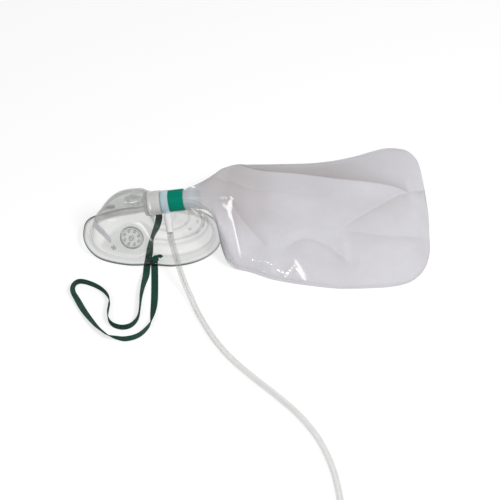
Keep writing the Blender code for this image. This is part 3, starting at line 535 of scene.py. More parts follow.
def painted_edge_shade(look):
    """Painted shade: dark lines at the rim, the foot of the wall, the nose creases, the flutes, the
    stakes, the socket and the ports, and a darker tone over the nose part of the wall.
    """
    x, y, z = local(look)
    y = y.size()
    nose = (NOSE_LENGTH - x).over(0)
    power = CHIN_POWER + (NOSE_POWER - CHIN_POWER) * nose
    along = (x - NOSE_LENGTH).size()
    measure = []
    for inset in (0, FLANGE_WIDTH):
        length = CHIN_LENGTH - inset + (NOSE_LENGTH - CHIN_LENGTH) * nose
        measure.append(((along / length) ** power + (y / (HALF_WIDTH - inset)) ** power) ** (1 / power))
    out, foot = measure
    share = (foot - 1) / (foot - out)
    lift = SADDLE_HEIGHT * (1 - x / SADDLE_LENGTH).most(0) ** 2
    low = 1 - (z - lift).over(5.6)
    lines = low * (share.on(1.0, 0.16) + 0.3 * share.on(0.8, 0.07) + 0.22 * share.on(0.2, 0.06))
    fade_x, fade_length = 115, 35
    lines = lines * (1 - 0.45 * ((x - fade_x) / fade_length).most(0).least(1))
    lines += 0.24 * foot.on(0.995, 0.012) + 0.05 * foot.over(1.0)
    beyond = y - curve_through(x, NOSE_CREASE)
    wall = 1 - foot.over(0.96)
    lines += wall * 0.26 * beyond.on(0, 0.9) * x.on(62, 40).least(0.6)
    upper = wall * (1 - x.over(CHIN_START))
    streaks = look.noise(95, 2.0, 0.5, (0.35, 1.0, 1.0))
    # Painted shade: a darker side panel, and a darker, streaked dome inside the nose crease.
    lines += upper * (0.115 * y.over(24) + (1 - beyond.over(0))
                      * (0.12 + 0.34 * (streaks - 0.45).most(0)))
    chin = x.over(CHIN_START) * wall
    lines += chin * (0.15 * foot.on(0.50, 0.045) + 0.20 * foot.on(0.765, 0.035)
                     + 0.07 * foot.on(0.22, 0.06) + 0.13 * foot.on(0.88, 0.03))
    for stake in stake_places.values():
        a, b, high = local(look, stake)
        cross = a.on(0, 0.8).most(b.on(0, 0.8)) * (1 - a.size().over(3)) * (1 - b.size().over(3))
        lines += (0.6 * cross + 0.12 * (a * a + b * b).on(9, 5)) * (1 - high.size().over(3))
    a, b, high = local(look, connector_place)
    radius = (a * a + b * b) ** 0.5
    lines += 0.9 * radius.on(14.9, 1.0) * high.on(1.0, 2.4)
    top = (DOWN * a - AWAY * b).on(-11.8, 2.2) * high.on(8, 7) * (1 - radius.over(14.5))
    lines += 0.5 * top * ((streaks - 0.42) * 6).most(0).least(1)
    smoke = look.noise(26, 3.0, 0.6, (0.7, 1.0, 1.0))
    lines += 0.22 * (smoke - 0.5).most(0) * wall
    seat_rings = ((PORT_RADIUS, 0.45, 0.75), (11.5, 0.35, 0.35), (2.2, 0.5, 0.5))
    return lines + port_painted_shade(look, seat_rings, 0.45)


def painted_highlight_streaks(look):
    """Painted highlights: streaks of stronger reflection on the crests of the folds and flutes, along the
    rim and on the foot of the socket.
    """
    x, y, z = local(look)
    y = y.size()
    broken = ((look.noise(75, 1.0) - 0.47) * 9).most(0).least(1)
    shine = 1.7 * (y - curve_through(x, NOSE_FOLD) + 0.5).on(0, 1.5) * x.on(70, 14).least(0.5)
    beyond = y - curve_through(x, NOSE_CREASE) - 3
    shine += 0.7 * beyond.on(0, 1.6) * x.on(48, 30).least(0.5) * broken
    middle_x, half_x, half_y = 92, 56, 40
    ring = (((x - middle_x) / half_x) ** 2 + (y / half_y) ** 2).most(0) ** 0.5
    flutes = ring.on(0.34, 0.035) + ring.on(0.55, 0.03) + ring.on(0.72, 0.03) + ring.on(0.86, 0.02)
    shine += 0.6 * flutes * broken * x.over(86)
    rim = y.on(47.3, 0.8) * x.on(93, 12).least(0.4) * 2.2
    a, b, high = local(look, connector_place)
    front = 1 - (AWAY * a + DOWN * b).over(0)
    socket = 0.8 * high.on(3.4, 1.5) * (DOWN * a - AWAY * b).on(5, 7) * front
    return (shine * (1 - z.over(46)) + rim + socket).least(0.85)


def socket_milk(look):
    """The thick wall of the socket is less clear than the rest, and so is the stretched dome."""
    a, b, high = local(look, connector_place)
    radius = (a * a + b * b) ** 0.5
    x, y = local(look)[:2]
    dome = 0.2 * (1 - x.over(CHIN_START)) * (1 - (y.size() - curve_through(x, NOSE_CREASE)).over(0))
    socket = high.over(0.6) * (1 - radius.over(15.4)) * (1 - 0.8 * high.on(15.0, 1.2))
    return dome.most(0.62 * socket)


pvc = clear_look("clear_pvc", (0.80, 0.80, 0.79), 0.025, (0.948, 0.948, 0.945), (0.42, 0.44, 0.425),
                 4.6, 0.07, 0.0011, 42, painted_edge_shade, socket_milk, painted_highlight_streaks)


def shell_body():
    """Inside, flange and outside of the moulding in one closed skin."""
    segments, rows = 176, 54
    angles = np.linspace(0, 2 * math.pi, segments, endpoint=False)
    foot, rim = rim_outline(angles, FLANGE_WIDTH), rim_outline(angles, 0)
    top = np.array([DOME_TOP_X, 0])
    outside = np.zeros((rows, segments, 3))
    for j, place in enumerate(foot):
        shares = np.linspace(1, 0, 400)
        line = shell_point(*(top + (place - top) * shares[:, None]).T)
        along = travelled(line)
        even = np.interp(np.linspace(0, along[-1], rows + 1)[:-1], along, shares)
        outside[:, j] = shell_point(*(top + (place - top) * even[:, None]).T)
    outside[0, :, 2] = rim_lift(foot[:, 0]) + FLANGE_THICKNESS
    around = np.roll(outside, -1, axis=1) - np.roll(outside, 1, axis=1)
    normals = np.cross(around, np.gradient(outside, axis=0))
    normals /= np.linalg.norm(normals, axis=2, keepdims=True)
    inside = outside - WALL * normals
    inward = (top - foot) / np.linalg.norm(top - foot, axis=1, keepdims=True)
    inside[0, :, :2] = foot + inward * WALL
    inside[0, :, 2] = rim_lift(foot[:, 0])
    flange = []
    for share, height in ((0.97, 0.0), (1.0, 0.35), (1.0, 1.5), (0.97, 2.1), (0.92, 2.2), (0.87, 2.05),
                          (0.83, 1.6), (0.79, 1.4), (0.5, 1.4), (0.3, 1.4), (0.24, 1.7), (0.18, 1.7),
                          (0.12, 1.4)):
        plan = foot + (rim - foot) * share
        flange.append(np.column_stack([plan, rim_lift(plan[:, 0]) + height]))
    rings = [*inside[::-1], *flange, *outside]
    verts = np.concatenate(rings).tolist()
    faces = rings_to_faces(len(rings), segments)
    crown = shell_point(*top)
    verts += [(crown - [0, 0, WALL]).tolist(), crown.tolist()]
    last = (len(rings) - 1) * segments
    for j in range(segments):
        k = (j + 1) % segments
        faces += [(len(verts) - 2, k, j), (len(verts) - 1, last + j, last + k)]
    return shape("mask_shell_moulding", verts, faces, pvc)


# The seats stay where the plain wall holds them, so that the moulded flaps stay on them
stud_top = PORT_RISE + 2 * FIT + FLAP_THICKNESS
added = [turned("socket_tool", (
    (0, -4), (SOCKET_RADIUS, -4), (SOCKET_RADIUS, 0), (15, 0), (15, 2.2), (SOCKET_RADIUS, 2.2),
    (SOCKET_RADIUS, SOCKET_LENGTH - 0.6), (SOCKET_RADIUS - 0.6, SOCKET_LENGTH), (0, SOCKET_LENGTH)),
    None, connector_place, 0.5)]
bore = MASK_SPIGOT_RADIUS + FIT
removed = [turned("bore_tool", ((0, -16), (bore, -16), (bore, 31), (0, 31)), None, connector_place)]
for side, (side_name, place) in zip((-1, 1), port_places.items()):
    added.append(turned(f"seat_tool_{side_name}", (
        (0, -2.6), (PORT_RADIUS, -2.6), (PORT_RADIUS, PORT_RISE), (11.6, PORT_RISE),
        (11.4, PORT_RISE - 0.35), (10.6, PORT_RISE - 0.35), (10.4, PORT_RISE), (1.3, PORT_RISE),
        (1.3, stud_top), (2.3, stud_top), (1.4, stud_top + 1.1), (0, stud_top + 1.4)), None, place, 0.2))
    added.append(turned(f"stake_tool_{side_name}", (
        (0, -0.7), (1.7, -0.7), (1.5, 0.65), (0.9, 1.3), (0, 1.4)), None, stake_places[side], 0.2,
        steps=32))
    holder = shape("pins", [(0, 0, 0)], [])
    ring = grown(holder, pins, {
        "Count": HOLE_COUNT, "Circle": HOLE_CIRCLE, "Pin radius": HOLE_RADIUS, "Pin length": 7.0,
        "Sides": 20, "Material": pvc})
    bpy.data.objects.remove(holder)
    removed.append(shape(f"hole_tool_{side_name}", [v.co for v in ring.vertices],
                         [f.vertices for f in ring.polygons], None,
                         place @ Matrix.Rotation(math.pi / HOLE_COUNT, 4, "Z")))
    slot_place = Matrix.Translation((SLOT_X, side * SLOT_Y, 0))
    removed.append(block(f"slot_tool_{side_name}", 4.4, 0.95, -10, 10, slot_place))

mask = shell_body()
combined(mask, joined("added_tool", added), "UNION")
combined(mask, joined("removed_tool", removed), "DIFFERENCE")
refinished(mask, pvc)
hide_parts("mask_shell")
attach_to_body(mask, "root")


# Exhale flaps: thin discs of translucent silicone, pulled over the stud of each port. They lie on
# the ring of holes, and a shallow step runs round them near the edge and near the stud.

def flap_painted_shade(look):
    """Painted shade lines at the edge of the disc, its shallow ring and the holes under it."""
    return port_painted_shade(look, ((FLAP_RADIUS, 0.3, 0.5), (11.0, 0.3, 0.25), (3.4, 0.3, 0.3)), 0.1)


silicone = clear_look("flap_silicone", (0.78, 0.785, 0.78), 0.03, (0.965, 0.965, 0.96),
                      (0.60, 0.62, 0.61), 4.0, 0.16, 0.0002, 120, flap_painted_shade)
for side_name, place in port_places.items():
    low = PORT_RISE + FIT
    high = low + FLAP_THICKNESS
    flap = turned(f"exhale_disc_{side_name}", (
        (1.6, low), (FLAP_RADIUS, low), (FLAP_RADIUS, high), (11.2, high), (10.9, low + 0.45),
        (3.6, low + 0.45), (3.3, high), (1.6, high)), silicone, place, 0.15)
    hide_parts(f"exhale_flap_{side_name}")
    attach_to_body(flap, "root")


# Nose clip: a soft aluminium strip 7.4 mm wide with round ends, bent over the bridge of the nose
# and held at both ends by stakes of the moulding melted down beside it.

CLIP_HALF_WIDTH = 3.7
CLIP_TOP_X = 14

clip_look = Finish("clip_metal")
brushed = clip_look.noise(900, 2.0, 0.5, (0.06, 1.0, 1.0))
dents = clip_look.noise(160, 2.0)
clip_normal = clip_look.bump(brushed * 0.3 + dents, 0.5, 0.0004)
clip_metal = clip_look.done(clip_look.skin(
    clip_look.blend(dents, (0.56, 0.545, 0.56), (0.70, 0.68, 0.71)), 0.34 + 0.25 * brushed,
    clip_normal, Metallic=0.25))

def clip_rings():
    shares = np.linspace(-1, 1, 81)
    line = np.stack([CLIP_TOP_X + (CLIP_END_X - CLIP_TOP_X) * np.abs(shares) ** 1.75,
                     shares * CLIP_REACH], axis=1)
    ways = np.gradient(line, axis=0)
    places = shell_point(line[:, 0], line[:, 1])
    gone = travelled(places)
    step = 0.5
    rings = []
    for (x, y), (dx, dy), done in zip(line, ways, gone):
        left = min(done, gone[-1] - done) / CLIP_HALF_WIDTH
        round_end = math.sqrt(max(1 - max(1 - left, 0) ** 2, 0.0004))
        side = np.array([dy, -dx]) / math.hypot(dx, dy)
        ahead = shell_point(x + side[0] * step, y + side[1] * step)
        behind = shell_point(x - side[0] * step, y - side[1] * step)
        half = CLIP_HALF_WIDTH * round_end * 2 * step / np.linalg.norm(ahead - behind)
        upper, lower = [], []
        for share, crown in ((-1, 0.62), (-0.9, 0.95), (-0.45, 1.05), (0, 1.1), (0.45, 1.05),
                             (0.9, 0.95), (1, 0.62)):
            px, py = x + side[0] * share * half, y + side[1] * share * half
            normal = shell_normal(px, py)
            upper.append(shell_point(px, py) + normal * crown)
            lower.append(shell_point(px, py) + normal * FIT)
        rings.append([*upper, *lower[::-1]])
    return rings


clip = lofted("nose_clip_strip", clip_rings(), clip_metal)
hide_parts("nose_clip")
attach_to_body(clip, "root")


# Connector: one moulding of pale blue translucent plastic, pushed into the mask's socket. It has
# a collar, a spigot for the bag, a valve seat with four spokes and a stud, and the gas inlet.

COLLAR_START = SOCKET_LENGTH + FIT
COLLAR_END = COLLAR_START + 8
SPIGOT_END = COLLAR_END + 35
SEAT = COLLAR_START + 1.2
INLET = COLLAR_START + 4
BAG_SPIGOT_RADIUS = 9.6
COLLAR_RADIUS = 13

blue_look = Finish("pale_blue_plastic")
blue_cloud = blue_look.noise(60, 2.0)
blue_skin = blue_look.skin(blue_look.blend(blue_cloud, (0.67, 0.84, 0.90), (0.73, 0.89, 0.94)), 0.22,
                           blue_look.bump(blue_cloud, 0.4, 0.0005))
blue = blue_look.done(blue_look.mix(0.55 + 0.3 * blue_look.facing(),
                                    blue_look.clear((0.87, 0.94, 0.955)), blue_skin))

inlet_way = Vector((0.15, -0.877, -0.46)).normalized()
inlet_place = (Matrix.Translation((AXIS_X + INLET * math.cos(AXIS_RISE), 0,
                                   AXIS_Z + INLET * math.sin(AXIS_RISE)))
               @ inlet_way.to_track_quat("Z", "Y").to_matrix().to_4x4())
seat_end = SEAT + 1.3
connector = turned("connector_moulding", (
    (9.4, 3), (10.6, 3), (MASK_SPIGOT_RADIUS, 3.8), (MASK_SPIGOT_RADIUS, COLLAR_START),
    (COLLAR_RADIUS, COLLAR_START), (COLLAR_RADIUS, COLLAR_END), (BAG_SPIGOT_RADIUS, COLLAR_END),
    (BAG_SPIGOT_RADIUS, SPIGOT_END - 1), (9.2, SPIGOT_END), (8.2, SPIGOT_END), (8.2, seat_end),
    (7.6, seat_end), (7.6, SEAT), (9.4, SEAT)), blue, connector_place, 0.4)
for i in range(2):
    # The second bar is a little thinner, so that no faces of the two meet in one plane
    spare = 0.06 + 0.03 * i
    combined(connector, block(f"spoke_tool_{i}", 8, 0.65, SEAT + spare, seat_end - spare,
                              connector_place @ Matrix.Rotation(i * math.pi / 2, 4, "Z")), "UNION")
neck = SEAT - 2 * FIT - FLAP_THICKNESS
for name, profile, place, steps, operation in (
        ("stud_tool", ((0, neck - 1), (1, neck - 1), (1.7, neck), (0.9, neck), (0.9, SEAT), (1.9, SEAT),
                       (1.9, seat_end), (0, seat_end)), connector_place, 30, "UNION"),
        ("nipple_tool", ((0, 11.2), (3.3, 11.2), (3.3, 13.4), (2.9, 14), (2.9, 15.7), (2.7, 15.7),
                         (2.55, 24), (2.4, 33), (0, 33)), inlet_place, 48, "UNION"),
        ("inlet_tool", ((0, 7.2), (1.4, 7.2), (1.4, 34), (0, 34)), inlet_place, 24, "DIFFERENCE")):
    combined(connector, turned(name, profile, None, place, steps=steps), operation)
refinished(connector, blue)
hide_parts("connector_body")
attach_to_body(connector, "root")

disc = SEAT - FIT - FLAP_THICKNESS
valve = turned("inhale_disc", ((1.2, disc), (8.8, disc), (8.8, SEAT - FIT), (1.2, SEAT - FIT)),
               silicone, connector_place, 0.15)
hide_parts("inhale_flap")
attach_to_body(valve, "root")


# Band: a short tube of green plastic, stretched over the bag's neck so that the film is held on
# the connector's spigot.

BAND_START = COLLAR_END + FIT
BAND_END = BAND_START + 17

green_look = Finish("green_plastic")
green_cloud = green_look.noise(70, 3.0)
green = green_look.done(green_look.skin(
    green_look.blend(green_cloud, (0.0, 0.205, 0.132), (0.002, 0.255, 0.172)), 0.36 + 0.12 * green_cloud,
    green_look.bump(green_look.noise(260, 2.0), 0.35, 0.0003), **{"Specular IOR Level": 0.05}))
band = turned("bag_neck_band", (
    (11.2, BAND_START), (12.3, BAND_START), (12.4, BAND_START + 0.6), (12.4, BAND_END - 0.6),
    (12.3, BAND_END), (11.2, BAND_END)), green, connector_place, 0.35, 4)
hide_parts("bag_band")
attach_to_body(band, "root")


# Reservoir bag: two films of soft PVC welded all round at the edge and drawn to a sleeve at the
# neck. It holds a little gas, and the film keeps the creases of its packing.

BAG_END_X = 404
MOUTH_X = 118
SHOULDER_X = 160
FLARE = 10
NEAR_Y = ((128, -12.5), (138, -16), (148, -21), (155, -29), (161, -40), (167, -49), (176, -54),
          (189, -57), (219, -70), (258, -79), (299, -84), (337, -82.5), (355, -80), (371, -74.5),
          (385, -62), (393, -48), (397.5, -34), (400.3, -18), (401.6, 2), (403.2, 20), (404, 34))
FAR_Y = ((128, 14), (138, 21), (145, 31.5), (152, 45), (159, 60), (166, 71), (171, 78), (184, 86),
         (226, 91.5), (258, 93.5), (289, 98), (319, 107), (340, 116), (356, 122), (367, 124),
         (380, 123.5), (390.5, 118), (396, 111), (399.3, 103), (401.3, 93), (402.5, 79),
         (403.4, 60), (404, 38))
NEAR_Z = ((128, 60.5), (138, 61), (148, 56), (155, 45), (161, 19), (167, 7), (180, 1.2), (190, 0.4),
          (400, 0.4))
FAR_Z = ((128, 60.5), (138, 62), (150, 58), (160, 50), (171, 41), (190, 34), (226, 31), (283, 30),
         (347, 30), (380, 27), (396, 20), (400, 13), (402.5, 6), (404, 1))
RISE = ((128, 12), (138, 13), (160, 19), (190, 26), (300, 26), (360, 19), (388, 8), (398.5, 0.1),
        (404, 0.1))
DROP = ((128, 12), (138, 13), (160, 14), (190, 20), (360, 20), (388, 8), (398.5, 0.1), (404, 0.1))

# Creases of the upper film: points in millimetres, height and width
FILM_CREASES = (
    (((160, 88), (193, 66), (247, 59), (314, 47), (379, 44.5)), 3.8, 10),
    (((378.6, 46), (341, 12), (297.5, -21.3)), 3.6, 8),
    (((376, 52), (392, 62), (402, 74)), -3.0, 8),
    (((378, 50), (376, 80), (373, 112)), 2.2, 9),
    (((297, -30), (345, -27), (392, -12)), -1.4, 5),
    (((297.4, -24), (298.5, -43), (300.3, -60)), 1.3, 4),
    (((228, -42), (236, -35.8), (256, -30), (278, -40), (298, -56)), -3.2, 7),
    (((226, -30), (256, -19), (284, -28), (306, -46)), 2.4, 7),
    (((130, -9), (152, -13), (170, -4), (193, -12), (215, -18)), 2.4, 5),
    (((164, -3), (180, -13), (195, -23), (210, -39)), -1.8, 9),
    (((126, 6), (150, 20), (176, 30), (215, 34)), 1.8, 8),
    (((173, 4), (170, -15.7), (173.7, -24.6), (181, -43.2)), 4.0, 3.0),
    (((160, -14), (166, -20), (173, -13)), 1.8, 3),
    (((166, -40), (186, -45), (206, -52), (226, -59)), 2.0, 3.5),
    (((205, -46), (226, -50), (250, -52)), 0.9, 6),
    (((231, -71), (237, -65), (244, -58.5)), 2.4, 2.6),
    (((244, -57), (250, -66), (256, -77)), 2.8, 2.8),
    (((310, -70), (316, -60), (318, -46)), 1.4, 4),
    (((330, -72), (336, -50), (350, -20)), 1.0, 6),
    (((345, 60), (356, 84), (358, 110)), 1.2, 7),
)

# Painted highlights along narrow crests: points in millimetres, 1 and the width
PAINTED_HIGHLIGHT_LINES = (
    (((174, 6), (170.5, -4), (169.5, -15.7), (173.7, -24.6), (183, -50)), 1.0, 1.4),
    (((171, -3), (169.5, -12), (171.5, -24)), 0.9, 2.6),
    (((161, -9), (165, -11), (171, -12)), 0.7, 2.2),
    (((156, -6), (166, 1), (177, 7)), 0.8, 0.9),
    (((227, -73), (237, -65), (247, -56.5)), 0.8, 1.2),
    (((242, -52), (250, -66), (258, -81)), 1.0, 1.5),
    (((246, -61), (250, -67), (253, -73)), 0.6, 3.0),
    (((185, -55), (198, -59), (212, -61.5)), 0.8, 0.9),
    (((121, 14), (127, 8), (131, 2)), 0.9, 1.7),
)

# Painted shade beside the creases of the film, darkest behind the main crease: its edge, the side of it
# (1 is the far side), how strong and how wide
CREASE_SHADE = (
    (FILM_CREASES[0][0], 1, 0.80, 60),
    (((297.5, -21.3), (341, 12), (379, 44.5)), -1, 0.32, 16),
    (((228, -42), (256, -30), (278, -38), (302, -58)), -1, 0.22, 9),
    (((379, 47), (392, 60), (402, 72)), -1, 0.5, 6),
    (((298, -24), (345, -24), (392, -12)), -1, 0.16, 8),
    (((160, 2), (180, -10), (195, -20), (212, -38)), 1, 0.26, 7),
    (((126, 8), (150, 20), (176, 28), (215, 32)), -1, 0.16, 8),
)


def through(points, x):
    """The smooth curve through (x, y) points that never overshoots them, read at x."""
    xs, ys = np.array(points, float).T
    steps = np.diff(xs)
    slopes = np.diff(ys) / steps
    ends = np.concatenate([[slopes[0]], np.zeros(len(xs) - 2), [slopes[-1]]])
    same_way = slopes[:-1] * slopes[1:] > 0
    safe = np.where(same_way, slopes[:-1] + slopes[1:], 1.0)
    ends[1:-1] = np.where(same_way, 2 * slopes[:-1] * slopes[1:] / safe, 0.0)
    x = np.clip(x, xs[0], xs[-1])
    i = np.clip(np.searchsorted(xs, x) - 1, 0, len(steps) - 1)
    t = (x - xs[i]) / steps[i]
    rise = (1 + 2 * t) * (1 - t) ** 2 * ys[i] + t * t * (3 - 2 * t) * ys[i + 1]
    return rise + steps[i] * (t * (1 - t) ** 2 * ends[i] - t * t * (1 - t) * ends[i + 1])


def bag_section(x, half_count):
    """One cross-section of the bag, from the far lip over the top and back below, with the
    distance of each point from the weld's outer edge."""
    neck = BAG_SPIGOT_RADIUS + FIT + 1
    band_end = AXIS_X + BAND_END * math.cos(AXIS_RISE)
    flare = smooth_step(x, band_end + FIT, band_end + FLARE)
    axis_z = AXIS_Z + (x - AXIS_X) * math.tan(AXIS_RISE)
    round_part = 1 - smooth_step(x, band_end + 8, SHOULDER_X)
    tilt = AXIS_RISE * (1 - smooth_step(x, band_end + FLARE, SHOULDER_X))

    def value(points, start):
        return start + (through(points, x) - start) * flare

    near_y, far_y = value(NEAR_Y, -neck), value(FAR_Y, neck)
    near_z, far_z = value(NEAR_Z, axis_z), value(FAR_Z, axis_z)
    rise, drop = value(RISE, neck), value(DROP, neck)
    lip = min(0.05 + 3.5 * smooth_step(x, band_end + 4, SHOULDER_X), 0.3 * (far_y - near_y))
    edge = 0.3
    half = (far_y - near_y) / 2 - lip
    middle = (far_y + near_y) / 2
    turns = np.linspace(0, math.pi, half_count + 1)
    hang = 1.3 - 1.1 * (smooth_step(x, 140, 156) - smooth_step(x, 168, 205))
    ring = []
    for side in (1, -1):
        above = side > 0
        turn = turns if above else math.pi + turns
        v = np.cos(turn)
        swell = np.abs(np.sin(turn)) ** (1.5 - 0.5 * round_part)
        line = near_z + (far_z - near_z) * np.clip((v + 1) / 2, 0, 1) ** hang
        z = line + (rise if above else -drop) * swell
        z += edge * side * (1 - round_part * swell)
        y = middle + half * v
        if above:
            fade = smooth_step(np.sin(turn), 0.0, 0.22) * (1 - round_part)
            z += folds(np.full(y.shape, x), y, FILM_CREASES, 0.0) * fade
        ring += list(zip(y, z, lip + half * (1 - np.abs(v))))
        end_y, end_z = (near_y, near_z) if above else (far_y, far_z)
        for share, height in ((0.4, 1), (0.0, 1), (0.0, -1), (0.4, -1)):
            ring.append((end_y + side * lip * share, end_z + side * height * edge, lip * share))
    out = []
    for y, z, away in ring:
        high = z - axis_z
        out.append((x - high * math.sin(tilt), y, max(axis_z + high * math.cos(tilt), 0.02), away))
    return out


film_look = Finish("bag_film")
seam_at, mouth_at, painted_shade, painted_highlight = (
    film_look.add("Attribute", output=2, attribute_name=name)
    for name in ("weld_distance", "neck_distance", "neck_shade", "painted_highlight"))
# Painted shade: a darker warm tone beside the creases and near the neck.
for i, (_, _, strength, _) in enumerate(CREASE_SHADE):
    beside = film_look.add("Attribute", output=1, attribute_name=f"beside_{i}")
    off, fade, reach = (film_look.add("SeparateXYZ", {"#0": beside}, k) for k in range(3))
    step = ((off + 1) * 0.45).most(0).least(1)
    painted_shade += strength * fade * step * off.maths("EXPONENT", off.most(0) * reach * -1)


def from_mouth(reach, start, end):
    """A value that changes smoothly over a reach from the bag's mouth."""
    return film_look.add("MapRange", {
        "Value": mouth_at, "From Min": 0.0, "From Max": reach, "To Min": start, "To Max": end},
        interpolation_type="SMOOTHSTEP")


weld_line = seam_at.maths("COMPARE", seam_at, 1.1, 0.35) + seam_at.maths("COMPARE", seam_at, 3.3, 0.4)
crinkle = film_look.noise(34, 4.0, 0.55, (0.8, 1.0, 1.0)) + film_look.noise(130, 3.0, 0.6) * 0.22
film_normal = film_look.bump(crinkle + weld_line * 0.25, 0.55, 0.0016)
film_cloud = ((film_look.noise(24, 3.0, 0.6, (0.7, 1.0, 1.0)) - 0.5) * 1.9 + 0.5).most(0).least(1)
film_color = film_look.blend(film_cloud, (0.715, 0.685, 0.72), (0.79, 0.785, 0.825))
# Over the film: a tint near the mouth, the painted shade in a warm dark colour, and the lighter weld
# lines.
for share, color in ((from_mouth(50.0, 0.8, 0.0), (0.69, 0.72, 0.745)),
                     (painted_shade.least(1), (0.335, 0.285, 0.27)), (weld_line * 0.5, (0.86, 0.87, 0.88))):
    film_color = film_look.blend(share, film_color, color)
film_body = film_look.mix(from_mouth(55.0, 0.56, 0.74), film_look.clear((0.93, 0.93, 0.95)),
                          film_look.skin(film_color, 0.3, film_normal))
film_gloss = (0.045 + 0.12 * film_look.facing(film_normal) ** 4.0).least(0.08)
# Painted highlights: more reflection where the highlight lines are painted.
film_gloss = film_gloss.most(((painted_highlight - 0.12) * 1.35).most(0).least(0.9))
bag_film = film_look.done(film_look.mix(film_gloss, film_body, film_look.gloss(0.08, film_normal)))


def bag():
    """The two films as one closed skin, drawn over the spigot under the band."""
    start = AXIS_X + (BAND_START + FIT) * math.cos(AXIS_RISE)
    stations = [*np.linspace(start, 126, 14), *np.linspace(127, 200, 56),
                *np.linspace(202.5, 364, 66)]
    stations += [BAG_END_X - 40 * (1 - t) ** 1.9 for t in np.linspace(0.03, 1, 34)]
    rows = [bag_section(x, 64) for x in stations]
    made = lofted("reservoir_bag_film", [[p[:3] for p in row] for row in rows], bag_film, sharp=60)
    x, y, z, away = np.array(rows).reshape(-1, 4).T
    ends = np.minimum(away, np.maximum(BAG_END_X - np.repeat(stations, len(rows[0])), 0) * 1.4)
    # Painted shade on the film near the neck, on its near side.
    neck_shade = 0.48 * smooth_step(x, 124, 140) * (1 - smooth_step(x, 165, 245)) * smooth_step(y, -34, -4)
    # Painted highlights go on the upper film only.
    painted_highlight = folds(x, y, PAINTED_HIGHLIGHT_LINES) * (z > 3)
    for name, values in (("weld_distance", ends), ("neck_distance", x - MOUTH_X), ("neck_shade", neck_shade),
                         ("painted_highlight", painted_highlight)):
        made.data.attributes.new(name, "FLOAT", "POINT").data.foreach_set("value", values)
    for i, (points, side, _, width) in enumerate(CREASE_SHADE):
        first, last = points[0][0], points[-1][0]
        off = np.clip(side * (y - through(points, x)), -6, 80)
        fade = smooth_step(x, first - 3, first + 16) * (1 - smooth_step(x, last - 5, last + 5))
        reach = np.full(len(x), width)
        if i == 0:
            reach = width * (1 - smooth_step(x, 240, 385)) + 9
            fade *= 1 - 0.3 * smooth_step(x, 262, 350)
        made.data.attributes.new(f"beside_{i}", "FLOAT_VECTOR", "POINT").data.foreach_set(
            "vector", np.column_stack([off, fade, 1 / reach]).ravel())
    return made


reservoir = bag()
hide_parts("reservoir_bag")
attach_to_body(reservoir, "root")


# Strap: a flat woven elastic 7.8 mm wide, dyed dark green, that goes up through a slot in the
# flange at each side and is knotted there. It lies on the table in a long loop.

STRAP_WIDTH = 7.8
STRAP_THICKNESS = 0.9
STRAP_ROUTE = ((85, -56, 0), (86.4, -80, 0), (87.3, -103, 10), (87, -121, 35), (85.6, -137, 75),
               (79.5, -149, 90), (71.3, -157, 90), (59.5, -160.7, 90), (49.4, -159, 76),
               (41, -155.5, 56), (33.6, -149, 52), (25.2, -139.7, 42), (12, -120, 22),
               (2.5, -102.4, 22), (-3.6, -90.5, 40), (-3.6, -82, 75), (0.6, -76.6, 90),
               (7.6, -76.6, 90), (18.6, -81.3, 90), (28.4, -88.3, 90), (35.3, -96.9, 90),
               (38.2, -105.5, 90), (37.9, -115, 90), (37.7, -124.5, 90), (39.8, -134, 90),
               (45.4, -141, 90), (54.6, -144.2, 90), (63.3, -142, 90), (69, -135.2, 90),
               (71.6, -127, 90), (72.2, -114, 87), (72.3, -98.6, 78), (73.6, -82, 64),
               (75.4, -69, 40), (75.9, -60, 8), (75.9, -51, 0), (77, -36, 0), (79.6, -6, 72),
               (84, 15, 35), (85.4, 31, 0))


def smooth_route(points, spacing):
    """Points a set distance apart on the Catmull-Rom curve through the route's own points."""
    route = np.array(points, float)
    padded = np.vstack([2 * route[0] - route[1], route, 2 * route[-1] - route[-2]])
    t = np.linspace(0, 1, 24, endpoint=False)[:, None]
    pieces = []
    for a, b, c, d in zip(padded, padded[1:], padded[2:], padded[3:]):
        pieces.append(0.5 * (2 * b + (c - a) * t + (2 * a - 5 * b + 4 * c - d) * t**2
                             + (3 * b - a - 3 * c + d) * t**3))
    fine = np.vstack([*pieces, route[-1:]])
    along = travelled(fine[:, :3])
    count = max(2, round(along[-1] / spacing) + 1)
    at = np.linspace(0, along[-1], count)
    return np.stack([np.interp(at, along, column) for column in fine.T], axis=1)


elastic_look = Finish("green_elastic")
weave_at = elastic_look.add("UVMap", uv_map="weave")
across, down = (elastic_look.add("TexWave", {
    "Vector": weave_at, "Scale": scale, "Distortion": distortion, "Detail": 1.0}, bands_direction=way)
    for way, scale, distortion in (("X", 4.4, 0.3), ("Y", 5.2, 0.6)))
weave = across * 0.7 + down * 0.5
elastic_color = elastic_look.blend(weave * (0.5 + elastic_look.noise(90)), (0.009, 0.046, 0.030),
                                   (0.021, 0.104, 0.067))
elastic = elastic_look.done(elastic_look.skin(
    elastic_color, 0.9, elastic_look.bump(weave, 0.7, 0.0004),
    **{"Sheen Weight": 0.08, "Specular IOR Level": 0.12}))


def strap_stations():
    """Points of the strap's middle and its roll, from the near slot to the far one."""
    flat, turn = STRAP_THICKNESS / 2, 1.6
    corner = [(SLOT_X, SLOT_Y, 3.8, 0), (SLOT_X, SLOT_Y, flat + turn, 0),
              (SLOT_X, SLOT_Y - 0.12 * turn, flat + 0.55 * turn, 0),
              (SLOT_X, SLOT_Y - 0.4 * turn, flat + 0.22 * turn, 0), (SLOT_X, SLOT_Y - turn, flat, 0)]
    near = [(x, y - 2 * SLOT_Y, z, roll) for x, y, z, roll in corner]
    route = smooth_route([(x, y, 0, math.radians(roll)) for x, y, roll in STRAP_ROUTE], 2.4)
    lean = route[:, 3]
    route[:, 2] = (STRAP_WIDTH * np.abs(np.sin(lean)) + STRAP_THICKNESS * np.cos(lean)) / 2
    return np.vstack([near, route, corner[::-1]])


